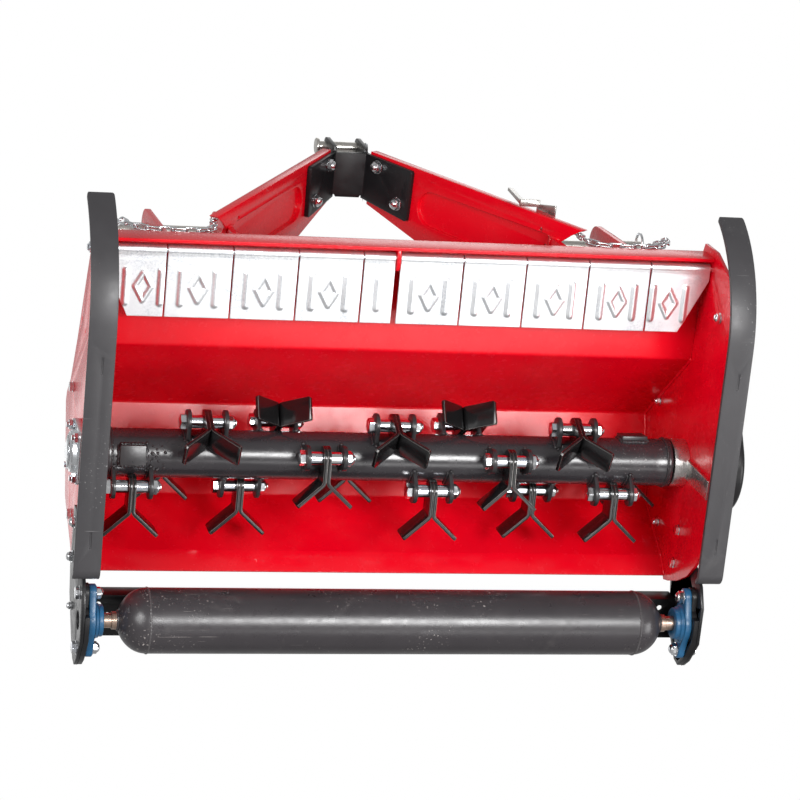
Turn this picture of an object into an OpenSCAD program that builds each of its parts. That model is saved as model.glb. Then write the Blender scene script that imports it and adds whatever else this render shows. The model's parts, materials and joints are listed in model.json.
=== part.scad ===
// Flail mower for a small tractor: hooded rotor with swinging Y knives,
// hinged front flaps, side skids, rear roller and a three-point hitch frame.
// Stance: +Z up, -Y towards the tractor, +X the belt side. Lengths in mm.

/* [Housing] */
// Clear width between the two side plates
inner_w = 1050; // [900:1:1250]
// Thickness of the folded hood sheet
sheet_t = 4; // [3:0.5:6]
// Thickness of the side plates
plate_t = 6; // [4:0.5:10]

/* [Front flaps] */
// Spacing of the wide flaps along the hinge rod
flap_pitch = 110; // [90:1:130]
// Width of the single narrow flap
narrow_w = 53; // [40:1:70]
// Gap between neighbouring flaps
flap_gap = 2.6; // [1:0.1:5]
// Length of a flap from the rod axis to its free edge
flap_len = 112; // [90:1:130]
// Thickness of the galvanised flap sheet
flap_t = 2; // [1.5:0.1:3]
// Diameter of the hinge rod
rod_d = 12; // [8:0.5:16]

/* [Rotor] */
// Height of the rotor axis over the ground
rotor_z = 181; // [170:1:195]
// Distance of the rotor axis behind the flap rod
rotor_y = 356; // [350:1:362]
// Outer diameter of the rotor tube
rotor_d = 82; // [76:1:90]
// Distance of the knife bolts from the rotor axis
knife_bolt_r = 63.5; // [62:0.5:66]
// Spacing of the knife sets along the rotor
set_pitch = 64.5; // [62:0.1:65]
// Width of a knife bar
knife_w = 42; // [34:1:42]
// Thickness of a knife bar
knife_t = 6; // [4:0.5:7]
// Straight stem from the bolt to the bend
knife_stem = 42; // [38:1:46]
// Diameter of the knife bolts
knife_bolt_d = 16; // [12:1:18]

/* [Rear roller] */
// Outer diameter of the rear roller
roller_d = 110; // [100:1:118]
// Length of the cylindrical part of the roller
roller_l = 846; // [780:1:880]
// Distance of the roller axis behind the flap rod
roller_y = 608; // [600:1:616]

/* [Skids] */
// Width of the skid bars
skid_w = 44.5; // [38:0.5:55]
// Thickness of the skid bars
skid_t = 8; // [6:1:10]
// Outer radius of the upswept skid nose
skid_r = 220; // [180:1:260]

/* [Hitch] */
// Distance between the middles of the two lower hitch points
hitch_w = 694; // [670:1:720]
// Height of the lower hitch pins
lower_pin_z = 436; // [420:1:450]
// Height of the top link pin
top_pin_z = 763; // [750:1:780]
// Diameter of the lower pins between the ears
lower_pin_d = 22; // [20:0.1:24]
// Diameter of the lower pins outside the ears
lower_pin_big_d = 28; // [26:0.1:30]
// Diameter of the top link pin
top_pin_d = 19; // [18:0.1:22]

/* [Drive] */
// Height of the gearbox and cross shaft axis
drive_z = 332; // [326:1:338]
// Distance of the cross shaft behind the flap rod
drive_y = 156; // [150:1:162]
// Pitch diameter of the upper belt pulley
drive_pulley_d = 132; // [120:1:140]
// Pitch diameter of the rotor pulley
rotor_pulley_d = 104; // [96:1:116]

/* [Hidden] */
$fn = 48;
e = 0.01;
ox = -27.375; oy = -296.5;
hw = inner_w/2;
po = hw + plate_t;
RY = rotor_y; RZ = rotor_z; RT = rotor_d/2;
DY = drive_y; DZ = drive_z;
rodz = 165;
xl = -hw + 3; xr = hw - 3;
// edges of the flap row, left to right
fl_x0 = [xl, -415.9, -305.9, -195.9, -85.9, -24, 86, 196, 306, 416];
fl_x1 = [-415.9, -305.9, -195.9, -85.9, -85.9+narrow_w+flap_gap, 86, 196, 306, 416, xr];
// hood section, inner line from front to rear
HOOD = [[-16,198],[174,203],[336,404],[484,342],[546,227],[573,198]];
SPL = [[-34,146],[-34,207],[20,232],[121,283],[203,323],[288,372],[322,408],[341,415],[494,350],[556,231],[583,202],
       [577,180],[559,133],[534,88],[502,55],[470,30],[440,8.2],[108,8.2],[70,10.8],[30,22.4],[2,36]];
SPR = [[-34,146],[-34,207],[20,232],[80,272],[88,330],[118,380],[160,398],[214,380],[250,364],[288,384],[322,408],[341,415],[494,350],[556,231],[583,202],
       [577,180],[559,133],[534,88],[502,55],[470,30],[440,8.2],[108,8.2],[70,10.8],[30,22.4],[2,36]];
BRK = [[448,138],[452,186],[560,187],[604,175],[664,123],[691,93],[694,72],[677,50],[632,15],[566,14],[532,33],[512,60],[500,112]];
// rows of knife bolts round the rotor, angle from straight down towards the rear
rowA = 45; rowP = 105; rowE = 165; rowD = 225; rowC = 285; rowB = 345;
SETROW = [rowA,rowE,rowC,rowP,rowD,rowB,rowE,rowC,rowA,rowD,rowB,rowP,rowC,rowA,rowE];
// direction in which each pair hangs in the shown pose, same angle
function hang(r) = r==rowC ? 26 : r==rowD ? -35 : r==rowB ? 86 : 90;
// the sets of the two front rows stand a little nearer to the left end
function setx(i) = (i-7)*set_pitch - ((SETROW[i]==rowC || SETROW[i]==rowD) ? 5 : 0);
function pin(i) = [RY + knife_bolt_r*sin(SETROW[i]), RZ - knife_bolt_r*cos(SETROW[i])];
function unit(v) = v/norm(v);
function nrm(a,b) = let(u=unit(b-a)) [-u[1],u[0]];
function off(P,d) = [for(i=[0:len(P)-1]) let(
   a = i==0 ? nrm(P[0],P[1]) : nrm(P[i-1],P[i]),
   b = i==len(P)-1 ? a : nrm(P[i],P[i+1])) P[i] + (a+b)*d/(1+a*b)];
function rev(P) = [for(i=[len(P)-1:-1:0]) P[i]];
function sheet(P,t) = concat(P, rev(off(P,t)));
// offset of each lug from the middle of its set
lug_x = 31.5;
leg_a = 57;
leg_len = 532;

// which sub-part to draw

// ---------- helpers ----------
module part() translate([ox,oy,0]) children();
// extrude a (y,z) outline from x0 to x1
module yz(x0,x1) translate([x0,0,0]) rotate([90,0,90]) linear_extrude(x1-x0) children();
module cx(x0,x1,y,z,r,fn=48) translate([x0,y,z]) rotate([0,90,0]) cylinder(h=x1-x0, r=r, $fn=fn);
module cxx(x0,x1,y,z,r0,r1,fn=48) translate([x0,y,z]) rotate([0,90,0]) cylinder(h=x1-x0, r1=r0, r2=r1, $fn=fn);
module hexx(x0,x1,y,z,af) translate([x0,y,z]) rotate([0,90,0]) cylinder(h=x1-x0, r=af/2/cos(30), $fn=6);
module hexz(z0,z1,x,y,af) translate([x,y,z0]) cylinder(h=z1-z0, r=af/2/cos(30), $fn=6);
module cz(z0,z1,x,y,r,fn=48) translate([x,y,z0]) cylinder(h=z1-z0, r=r, $fn=fn);
module box(x0,x1,y0,y1,z0,z1) translate([x0,y0,z0]) cube([x1-x0,y1-y0,z1-z0]);
// bolt along +X from the head face at x0, gripping g, with a domed nut
module boltx(x0,g,y,z,r,af) {
  hexx(x0-0.65*2*r, x0, y, z, af);
  cx(x0-e, x0+g+e, y, z, r, 24);
  hexx(x0+g, x0+g+r*1.3, y, z, af);
  cxx(x0+g+r*1.3, x0+g+r*2.1, y, z, af*0.44, r*0.55, 24);
}

// ---------- housing ----------
module hood_shell() color([0.8,0.03,0.08]) part() {
  yz(-hw+0.4, hw-0.4) polygon(sheet(HOOD, sheet_t));
}
module plate_holes(l) {
  cx(-700,700,0,rodz,rod_d/2+0.3);
  cx(-700,700,RY,RZ,30);
  for (p=[[292,336],[498,268],[536,163],[473,158],[66,90]]) cx(-700,700,p[0],p[1],5.3,24);
}
module side_plate_left() color([0.8,0.03,0.08]) part() difference() {
  yz(-po,-hw) polygon(SPL);
  plate_holes();
  for (p=[[153,276],[161,229]]) yz(-po-1,-hw+1) translate(p) square([7,3.4],center=true);
}
module side_plate_right() color([0.8,0.03,0.08]) part() difference() {
  yz(hw,po) polygon(SPR);
  plate_holes();
  cx(500,560,DY,DZ,29);
  // insertion slot for the rotor, closed from inside by a strip
  yz(hw-1,po+1) translate([RY-14,40]) square([28,120]);
}
module front_beam() color([0.8,0.03,0.08]) part() difference() {
  union() {
    box(-hw+0.4,hw-0.4,-22,-16.2,148,204);
    box(-hw+0.4,hw-0.4,-22,-4,204,209);
    yz(-30.5,-24.6) polygon([[-17,152],[-17,197.7],[2,197.7],[19,176],[21,160],[14,151],[-8,150]]);
  }
  cx(-60,0,0,rodz,rod_d/2+0.3);
}
module flap_rod() color([0.75,0.76,0.78]) part() {
  cx(-po-16, po+12, 0, rodz, rod_d/2-0.08);
  difference() { hexx(-po-13,-po-4,0,rodz,18); cx(-po-20,po,0,rodz,rod_d/2-0.08); }
  difference() { cx(-po-3.4,-po-0.6,0,rodz,12); cx(-po-20,po,0,rodz,rod_d/2-0.08); }
  difference() { cx(po+0.6,po+3.4,0,rodz,12); cx(0,po+30,0,rodz,rod_d/2-0.08); }
  translate([po+8,0,rodz]) cylinder(h=26,r=1.6,center=true,$fn=16);
}

// ---------- flaps ----------
module flap(i) color([0.83,0.85,0.87]) part() {
  a = fl_x0[i] + (i==0?0:flap_gap/2); b = fl_x1[i] - (i==9?0:flap_gap/2);
  ro = rod_d/2 + flap_t + 0.1; zb = rodz - ro; m = (a+b)/2 + (i==0 ? 17 : i==9 ? -17 : 0);
  difference() {
    union() {
      cx(a,b,0,rodz,ro);
      box(a,b,0,flap_len,zb,zb+flap_t);
      box(a,b,flap_len-2,flap_len,zb-3,zb+e);
    }
    cx(a-1,b+1,0,rodz,rod_d/2+0.02);
    if (i==0) translate([a,0,zb-5]) linear_extrude(12) polygon([[-1,20],[46,flap_len+1],[-1,flap_len+1]]);
    if (i==9) translate([b,0,zb-5]) linear_extrude(12) polygon([[1,20],[-46,flap_len+1],[1,flap_len+1]]);
  }
  intersection() {
    union() {
      if (i==4) translate([m,30,zb+2]) rotate([-90,0,0]) cylinder(h=62,r=3.6,$fn=20);
      else {
        for (s=[-1,1]) translate([m+s*29,28,zb+2]) rotate([-90,0,0]) cylinder(h=66,r=3.6,$fn=20);
        translate([m,61,zb-1.4]) linear_extrude(3) polygon([[-14,0],[0,-26],[14,0],[0,26]]);
      }
    }
    box(a+2,b-2,20,100,zb-1.6,zb+flap_t-0.2);
  }
}

// ---------- skids ----------
module skid(s) color([0.13,0.13,0.14]) part() {
  x0 = s*(hw+11) - skid_w/2; ri = skid_r-skid_t;
  difference() {
    // one bent flat bar: nose, sole and short rear lip
    yz(x0,x0+skid_w) polygon(concat(
      [for(t=[66:-4.4:0]) [100-skid_r*sin(t), skid_r-skid_r*cos(t)]],
      [for(t=[0:14:70]) [500+20*sin(t), 20-20*cos(t)]],
      [for(t=[70:-14:0]) [500+12*sin(t), 20-12*cos(t)]],
      [for(t=[0:4.4:66]) [100-ri*sin(t), skid_r-ri*cos(t)]]));
    for (y=[152,447]) translate([x0+skid_w*0.52,y-14,-1]) cube([3,28,2.4]);
    // rounded nose corners
    translate([x0-1,100,skid_r]) rotate([-64.2,0,0]) translate([0,0,-skid_r-5]) nose_cut();
  }
}
module nose_cut() difference() {
  translate([0,-14,0]) cube([skid_w+2,20,skid_t+10]);
  translate([12+1,0,-1]) cylinder(h=30,r=12,$fn=32);
  translate([skid_w-12+1,0,-1]) cylinder(h=30,r=12,$fn=32);
  translate([13,-12,-1]) cube([skid_w-24,30,40]);
  translate([-1,0,-1]) cube([skid_w+6,30,40]);
}

// ---------- rear roller ----------
module bracket(s) color([0.09,0.09,0.10]) part() difference() {
  union() {
    if (s>0) yz(po+0.3,po+6.3) polygon(BRK); else yz(-po-6.3,-po-0.3) polygon(BRK);
    // folded rim behind the side plate and the bearing seat
    if (s>0) yz(hw-2,po+1) rim(); else yz(-po-1,-hw+2) rim();
  }
  for (p=[[roller_y-48.5,56],[roller_y+48.5,56],[536,163],[473,158]]) cx(-700,700,p[0],p[1],6.1,24);
  cx(-700,700,roller_y,56,16);
  cx(-700,700,615,139,4.3,24);
}
module rim() {
  difference() {
    polygon([[604,174],[664,122.5],[690.6,92.6],[693.6,72.2],[676.6,50.4],[631.6,15.5],[588,15],[588,96],[597,130]]);
    polygon([[608,156],[655,116],[684,88],[686,74],[671,56],[628,23],[596,23],[596,92],[604,130]]);
  }
  // bearing seat
  translate([roller_y,56]) { circle(r=34,$fn=48); }
  translate([roller_y-48.5,56]) circle(r=17,$fn=32);
  translate([roller_y+48.5,56]) circle(r=17,$fn=32);
  translate([roller_y-48.5,39]) square([97,34]);
}
module roller_bearings() color([0.20,0.38,0.55]) part() for (s=[-1,1]) mirror([s<0?1:0,0,0]) difference() {
  union() {
    yz(hw-14,hw-2.05) { translate([roller_y,56]) circle(r=33,$fn=48);
      translate([roller_y-48.5,56]) circle(r=15.5,$fn=32); translate([roller_y+48.5,56]) circle(r=15.5,$fn=32);
      polygon([[roller_y-50,71.4],[roller_y-20,82],[roller_y+20,82],[roller_y+50,71.4],[roller_y+50,40.6],[roller_y+20,30],[roller_y-20,30],[roller_y-50,40.6]]); }
    cxx(hw-20,hw-13,roller_y,56,29,31);
    cx(hw-28,hw-20+e,roller_y,56,27);
  }
  cx(hw-40,hw+10,roller_y,56,12.55);
  for (d=[-48.5,48.5]) cx(hw-40,hw+10,roller_y+d,56,6.1,24);
}
module scraper_bar() color([0.08,0.08,0.09]) part() difference() {
  union() {
    box(-hw+2.2,hw-2.2,589,595,121,160);
    box(-hw+2.2,hw-2.2,589,662,121,126);
    for (s=[-1,1]) mirror([s<0?1:0,0,0]) yz(hw-8.2,hw-2.2) polygon([[589,122],[589,160],[612,160],[655,125],[655,121]]);
  }
  for (s=[-1,1]) { cz(110,140,s*(hw-30),606,5,24); cz(110,140,s*(hw-46),624,4,24); cx(s*hw-9,s*hw+9,615,139,4.3,24); }
}
module rear_roller() color([0.19,0.18,0.19]) part() difference() {
  rotate_x_profile(roller_y,56);
  cx(-roller_l/2+20,roller_l/2-20,roller_y,56,roller_d/2-6);
}
module rotate_x_profile(y,z) {
  L = roller_l/2; R = roller_d/2; d = 50; A = 12.5;
  translate([0,y,z]) rotate([0,90,0]) rotate_extrude($fn=72)
    polygon(concat([[0,-hw+6],[A,-hw+6],[A,-L-d-8],[15,-L-d-8],[15,-L-d+1]],
      [for(t=[20:14:90]) [R*sin(t), -L-d*cos(t)]],
      [[R+0.8,-L],[R+0.8,-L+5],[R,-L+7],[R,L-7],[R+0.8,L-5],[R+0.8,L]],
      [for(t=[90:-14:20]) [R*sin(t), L+d*cos(t)]],
      [[15,L+d-1],[15,L+d+8],[A,L+d+8],[A,hw-6],[0,hw-6]]));
}

// ---------- rotor ----------
module on_row(a) translate([0,RY,RZ]) rotate([a,0,0]) mirror([0,0,1]) children();
module lug(x) {
  difference() {
    translate([x-3.5,0,0]) rotate([90,0,90]) linear_extrude(7) difference() {
      union() { translate([0,knife_bolt_r]) circle(r=21,$fn=40); translate([-21,RT-6]) square([42,knife_bolt_r-RT+6]); }
      translate([0,knife_bolt_r]) circle(r=knife_bolt_d/2,$fn=32);
    }
  }
}
module rotor() color([0.20,0.19,0.20]) part() {
  difference() {
    union() {
      cx(-hw+33,hw-33,RY,RZ,RT,64);
      cx(hw-37,hw-30,RY,RZ,RT+2,64); cx(-hw+30,-hw+37,RY,RZ,RT+2,64);
      cx(-po-19,-hw+32,RY,RZ,17.5); cx(hw-32,po+74,RY,RZ,17.5);
      // balance weights
      on_row(-12) box(-474,-430,-17,17,RT-2,RT+7);
      on_row(262) box(406,452,-17,17,RT-2,RT+7);
    }
    cx(-hw+55,hw-55,RY,RZ,RT-6,64);
  }
  // knife lugs, each seated on the tube
  for (i=[0:14]) for (s=[-1,1]) difference() {
    on_row(SETROW[i]) lug(setx(i)+s*lug_x);
    cx(setx(i)+s*lug_x-6,setx(i)+s*lug_x+6,RY,RZ,RT+0.03,64);
  }
}
module kbolt(i) {
  p = pin(i); x = setx(i); r = knife_bolt_d/2;
  hexx(x-46,x-35.2,p[0],p[1],24);
  cx(x-35.5,x+35.5,p[0],p[1],r,32);
  hexx(x+35.2,x+44,p[0],p[1],24);
  cxx(x+43.9,x+50.5,p[0],p[1],10.6,4,24);
  for (s=[-1,1]) difference() {
    if (s<0) cx(x-27.8,x-knife_t-0.5,p[0],p[1],11,32); else cx(x+knife_t+0.5,x+27.8,p[0],p[1],11,32);
    cx(x-30,x+30,p[0],p[1],r-0.2,32);
  }
}
module knife_bolts() color([0.8,0.82,0.84]) part() for (i=[0:14]) kbolt(i);
module knives(i) color([0.07,0.07,0.08]) part() {
  p = pin(i); h = hang(SETROW[i]);
  f = 42.3;
  P = [[0.2,-1],[0.2,knife_stem],[0.2+f+3.4,knife_stem+f]];
  translate([setx(i),p[0],p[1]]) rotate([h,0,0]) mirror([0,0,1]) for (s=[0,1]) mirror([s,0,0]) difference() {
    union() {
      rotate([90,0,0]) translate([0,0,-knife_w/2]) linear_extrude(knife_w) polygon(concat(P, rev(off(P,-knife_t))));
      translate([0.2,0,0]) rotate([0,90,0]) cylinder(h=knife_t,r=knife_w/2,$fn=48);
    }
    translate([-1,0,0]) rotate([0,90,0]) cylinder(h=20,r=knife_bolt_d/2+0.06,$fn=32);
  }
}
module bearing4(s,dome) mirror([s<0?1:0,0,0]) difference() {
  union() {
    yz(po+0.1,po+12) offset4(46,10);
    cxx(po+11.9,po+21,RY,RZ,38,34);
    if (dome) { cxx(po+20.9,po+24,RY,RZ,33,28); cxx(po+23.9,po+27,RY,RZ,28,14); }
  }
  cx(po-5,po+(dome?21:23),RY,RZ,17.55);
  for (a=[45:90:315]) cx(po-5,po+30,RY+50*cos(a),RZ+50*sin(a),5.3,24);
}
module offset4(h,r) translate([RY,RZ]) { square([2*h,2*h-2*r],center=true); square([2*h-2*r,2*h],center=true);
  for (a=[-1,1],b=[-1,1]) translate([a*(h-r),b*(h-r)]) circle(r=r,$fn=32); }
module rotor_bearings() color([0.78,0.80,0.82]) part() { bearing4(-1,true); bearing4(1,false); }
module rotor_collars() color([0.72,0.70,0.68]) part() {
  for (s=[-1,1]) mirror([s<0?1:0,0,0]) difference() {
    cx(hw-27,hw-0.05,RY,RZ,42); cx(hw-40,hw+10,RY,RZ,24);
  }
  // strips closing the insertion slots inside both plates
  for (s=[-1,1]) mirror([s<0?1:0,0,0]) box(hw-5,hw-0.05,RY-17,RY+17,32,RZ-38);
}

// ---------- belt drive ----------
module pulley(y,z,r,x0,bore) difference() {
  translate([x0,y,z]) rotate([0,90,0]) rotate_extrude($fn=72)
    polygon([[bore,0],[r+5,0],[r+5,3.6],[r-5,4.1],[r-5,13.1],[r+5,13.6],[r+5,16.6],[r-5,17.1],[r-5,26.1],[r+5,26.6],[r+5,30],[r-12,30],[r-12,26],[bore+14,26],[bore+14,36],[bore,36]]);
  if (r>60) for (a=[0:60:300]) cx(x0-1,x0+40,y+(r-26)*cos(a),z+(r-26)*sin(a),8,24);
}
module rotor_pulley() color([0.3,0.3,0.32]) part() pulley(RY,RZ,rotor_pulley_d/2,po+34,17.5);
module drive_pulley() color([0.3,0.3,0.32]) part() pulley(DY,DZ,drive_pulley_d/2,po+34,15);
module belt_loop(g) {
  r1 = drive_pulley_d/2+g; r2 = rotor_pulley_d/2+g;
  dd = norm([RY-DY,RZ-DZ]); ba = atan2(RZ-DZ,RY-DY); ga = acos((r1-r2)/dd);
  polygon(concat([for(k=[0:20]) let(t=ba+ga+(360-2*ga)*k/20) [DY+r1*cos(t),DZ+r1*sin(t)]],
                 [for(k=[0:20]) let(t=ba-ga+2*ga*k/20) [RY+r2*cos(t),RZ+r2*sin(t)]]));
}
module v_belts() color([0.06,0.06,0.06]) part() for (k=[0,1])
  difference() {
    yz(po+34+4.6+13*k,po+34+12.6+13*k) belt_loop(4.6);
    yz(po+30,po+80) belt_loop(-3.6);
  }
IDA = [284,292]; IDW = [246,222];
module idler_arm() color([0.55,0.56,0.58]) part() difference() {
  union() {
    yz(po+66,po+71) { translate(IDA) circle(r=14,$fn=32); translate(IDW) circle(r=13,$fn=32);
      polygon([[IDA[0]-12.5,IDA[1]+6],[IDW[0]-11.6,IDW[1]+6],[IDW[0]+11.6,IDW[1]-6],[IDA[0]+12.5,IDA[1]-6]]); }
    cx(po+36,po+66.1,IDW[0],IDW[1],6,32);
  }
  cx(po+60,po+75,IDA[0],IDA[1],8.06,32);
}
module idler_wheel() color([0.5,0.5,0.52]) part() difference() {
  cx(po+37,po+65,IDW[0],IDW[1],21); cx(po+30,po+75,IDW[0],IDW[1],6.06,32);
}
// stand-offs of the guard on the side plate
GT = [[314,334],[437,134],[198,178],[91,254]];
module guard2d(g) {
  r1 = 84+g; r2 = 78+g; dd = norm([RY-DY,RZ-DZ]); ba = atan2(RZ-DZ,RY-DY); ga = acos((r1-r2)/dd);
  polygon(concat([for(k=[0:20]) let(t=ba+ga+(360-2*ga)*k/20) [DY+r1*cos(t),DZ+r1*sin(t)]],
                 [for(k=[0:16]) let(t=ba-ga+2*ga*k/16) [RY+r2*cos(t),RZ+r2*sin(t)]]));
}
module belt_guard() color([0.08,0.08,0.09]) part() difference() {
  union() {
    yz(po+30.5,po+82) guard2d(8);
    for (p=GT) { cx(po+0.2,po+33.5,p[0],p[1],8,32); cx(po+30.5,po+33.5,p[0],p[1],12,32); }
  }
  yz(po+33.5,po+79) guard2d(5);
  yz(po+30,po+34) guard2d(-2);
  for (p=GT) cx(po-1,po+34,p[0],p[1],4.3,24);
}

// ---------- gearbox and shafts ----------
module gearbox() color([0.25,0.26,0.28]) part() difference() {
  union() {
    box(-68,68,102,210,276,388);
    translate([0,DY,388-e]) linear_extrude(8) square([104,84],center=true);
    cx(-68-14,-67.9,DY,DZ,46); cx(67.9,82,DY,DZ,46);
    translate([0,102.1,DZ]) rotate([90,0,0]) cylinder(h=14,r=46);
    box(-84,84,112,200,262,277);
    for (x=[-36,0,36]) box(x-3,x+3,95,209,278,386);
    box(-98,98,100,167,209.4,214);
    for (s=[-1,1]) box(s*74-4,s*74+4,104,167,213,263);
    for (s=[-1,1]) yz(s*74-4,s*74+4) polygon([[160,214],[167,214],[198,262.5],[160,262.5]]);
    cz(395,404,26,DY+14,9,24);
  }
  translate([0,110,DZ]) rotate([90,0,0]) cylinder(h=40,r=18.1);
  cx(60,100,DY,DZ,15.1);
  for (x=[-60,60],y=[126,186]) cz(255,280,x,y,5.3,24);
  for (x=[-88.5,88.5],y=[112,154]) cz(200,220,x,y,5.3,24);
}
module pto_shaft() color([0.7,0.71,0.73]) part() difference() {
  union() {
    translate([0,48,DZ]) rotate([-90,0,0]) cylinder(h=60,r=17.45,$fn=64);
    translate([0,46.5,DZ]) rotate([-90,0,0]) cylinder(h=1.6,r1=15.5,r2=17.45,$fn=64);
  }
  for (a=[0:60:300]) translate([0,45,DZ]) rotate([0,a,0]) translate([-4.6,0,14.9]) cube([9.2,42,6]);
  translate([0,58,DZ]) rotate([-90,0,0]) rotate_extrude($fn=64) translate([17.3,0]) circle(r=2.8,$fn=24);
}
module pto_guard() color([0.10,0.10,0.11]) part() translate([0,88,DZ]) rotate([90,0,0]) difference() {
  union() { cylinder(h=4,r=62); cylinder(h=42,r1=57,r2=64); }
  translate([0,0,-1]) cylinder(h=6,r=48);
  translate([0,0,4]) cylinder(h=60,r1=53.6,r2=62);
}
module cross_tube() color([0.8,0.03,0.08]) part() difference() {
  union() { cx(82.1,po-6.2,DY,DZ,32); cx(82.1,92,DY,DZ,46); cx(hw-9,hw-0.2,DY,DZ,44);
    cx(po+0.2,po+24,DY,DZ,40); }
  cx(82,hw,DY,DZ,27); cx(hw-12,po+30,DY,DZ,25.1);
  cx(hw-12,po+30,DY,DZ,15.06);
}
module cross_shaft() color([0.7,0.71,0.73]) part() { cx(68,po+72,DY,DZ,15); }

// ---------- hitch ----------
// local frame of a leg: +X down the leg, +Y to the rear, +Z outward
module leg_frame(s) mirror([s<0?1:0,0,0]) translate([33,0,700]) rotate([0,leg_a,0]) children();
module leg(s) color([0.8,0.03,0.08]) part() difference() {
  leg_frame(s) difference() {
    union() {
      linear_extrude(4) leg2d(0);
      // edge flanges
      linear_extrude(16) difference() { leg2d(0); leg_in(); translate([-20,-80]) square([26.01,200]); }
      // pressed panel, standing outward
      translate([0,0,3.9]) linear_extrude(8) difference() { pan(4); pan(0); }
      translate([0,0,8]) linear_extrude(3.9) pan(3.9);
    }
    translate([0,0,-1]) linear_extrude(9.1) pan(0);
    for (p=[[36,-39],[92,17]]) translate([p[0],p[1],-30]) cylinder(h=60,r=6.1,$fn=24);
    for (p=[[431,-15],[438,14]]) translate([p[0],p[1],-30]) cylinder(h=60,r=3.5,$fn=24);
  }
  // clearance where the inner hitch ear passes through the leg
  mirror([s<0?1:0,0,0]) yz(hitch_w/2-65.5,hitch_w/2-54.5) polygon([[-13,200],[-11,240],[-5,360],[-1,437],[150,437],[150,200]]);
  mirror([s<0?1:0,0,0]) box(100,500,-200,400,0,214.5);
}
module leg2d(g) polygon([[8,-61.5],[524,-34.4],[500,-20],[430,33],[372,93.5],[190,92],[8,37.5]]);
module leg_in() polygon([[-5,-57.2],[600,-25.1],[600,91],[190.6,88],[-5,29]]);
module pan(g) { u0=168; u1=440; v=26; r=36+g;
  translate([u0,12]) circle(r=r-4,$fn=40); translate([u1,v]) circle(r=r,$fn=40);
  polygon([[u0,12-r+4],[u1,v-r],[u1,v+r],[u0,12+r-4]]); }
module wing2d() polygon([[-1,-58],[118,-50],[122,-46],[119,42],[113,45],[-1,27]]);
module top_link_bracket() color([0.07,0.07,0.08]) part() {
  for (s=[-1,1]) leg_frame(s) difference() {
    translate([0,0,-8]) linear_extrude(7.7) wing2d();
    for (p=[[36,-39],[92,17]]) translate([p[0],p[1],-30]) cylinder(h=60,r=6.1,$fn=24);
  }
  difference() {
    box(-36,36,-57,26,692.2,700.2);
    for (s=[-1,1]) leg_frame(s) translate([0,-100,-0.31]) cube([60,200,60]);
    for (s=[-1,1]) translate([s*27,26,680]) cylinder(h=40,r=4.5,$fn=24);
  }
  for (s=[-1,1]) difference() {
    union() {
      box(s*29-4,s*29+4,-67,-20,700,top_pin_z-4);
      cx(s*29-4,s*29+4,-52,top_pin_z,17);
      yz(s*29-4,s*29+4) polygon([[-69,top_pin_z],[-35,top_pin_z],[-8,700],[-67,700]]);
    }
    cx(-60,60,-52,top_pin_z,top_pin_d/2+0.3);
  }
}
module hitch_ears() color([0.8,0.03,0.08]) part() for (s=[-1,1], d=[-60,60]) {
  x = s*hitch_w/2 + d;
  difference() {
    union() {
      cx(x-5,x+5,38.5,lower_pin_z,38);
      yz(x-5,x+5) polygon([[0.6,lower_pin_z],[-4,360],[-10,240],[-10,209.5],[118,209.5],[118,232],[76.4,lower_pin_z]]);
    }
    cx(x-6,x+6,38.5,lower_pin_z,lower_pin_d/2+0.1);
  }
}
module lynch(x,z0) {
  translate([x,38.5,lower_pin_z]) {
    translate([0,0,-24]) cylinder(h=44,r=3,$fn=20);
    translate([0,0,-24]) rotate([0,0,0]) cylinder(h=6,r=6.5,$fn=20);
    translate([0,-13,-17]) rotate([0,90,0]) rotate_extrude($fn=40) translate([19,0]) circle(r=2.2,$fn=12);
  }
}
module hitch_pins() color([0.72,0.70,0.66]) part() {
  for (s=[-1,1]) mirror([s<0?1:0,0,0]) {
    a = hitch_w/2;
    difference() {
      union() {
        cx(a-92,a+65.2,38.5,lower_pin_z,lower_pin_d/2);
        cx(a+65.1,a+140,38.5,lower_pin_z,lower_pin_big_d/2);
        cxx(a+139.9,a+146,38.5,lower_pin_z,lower_pin_big_d/2,lower_pin_big_d/2-5);
      }
      for (x=[a-82,a+132]) translate([x,38.5,lower_pin_z-30]) cylinder(h=60,r=3.05,$fn=20);
    }
    lynch(a-82,0); lynch(a+132,0);
  }
  // top link pin with its head and spring clip
  difference() { union() { cx(-46,46,-52,top_pin_z,top_pin_d/2); cx(-52,-45.9,-52,top_pin_z,15); }
    translate([40,-52,top_pin_z-20]) cylinder(h=40,r=2.55,$fn=20); }
  translate([40,-52,top_pin_z]) { translate([0,0,-14]) cylinder(h=30,r=2.5,$fn=20);
    translate([0,2,-15]) rotate([0,90,0]) rotate_extrude($fn=40) translate([13,0]) circle(r=1.8,$fn=12); }
}
module link(a) rotate([a,0,0]) translate([0,0,-1.9]) linear_extrude(3.8) difference() {
  union() { square([18,13],center=true); for (s=[-1,1]) translate([s*9,0]) circle(r=6.5,$fn=16); }
  union() { square([18,6],center=true); for (s=[-1,1]) translate([s*9,0]) circle(r=3,$fn=16); } }
chain_n = 24; chain_p = 21.5;
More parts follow.
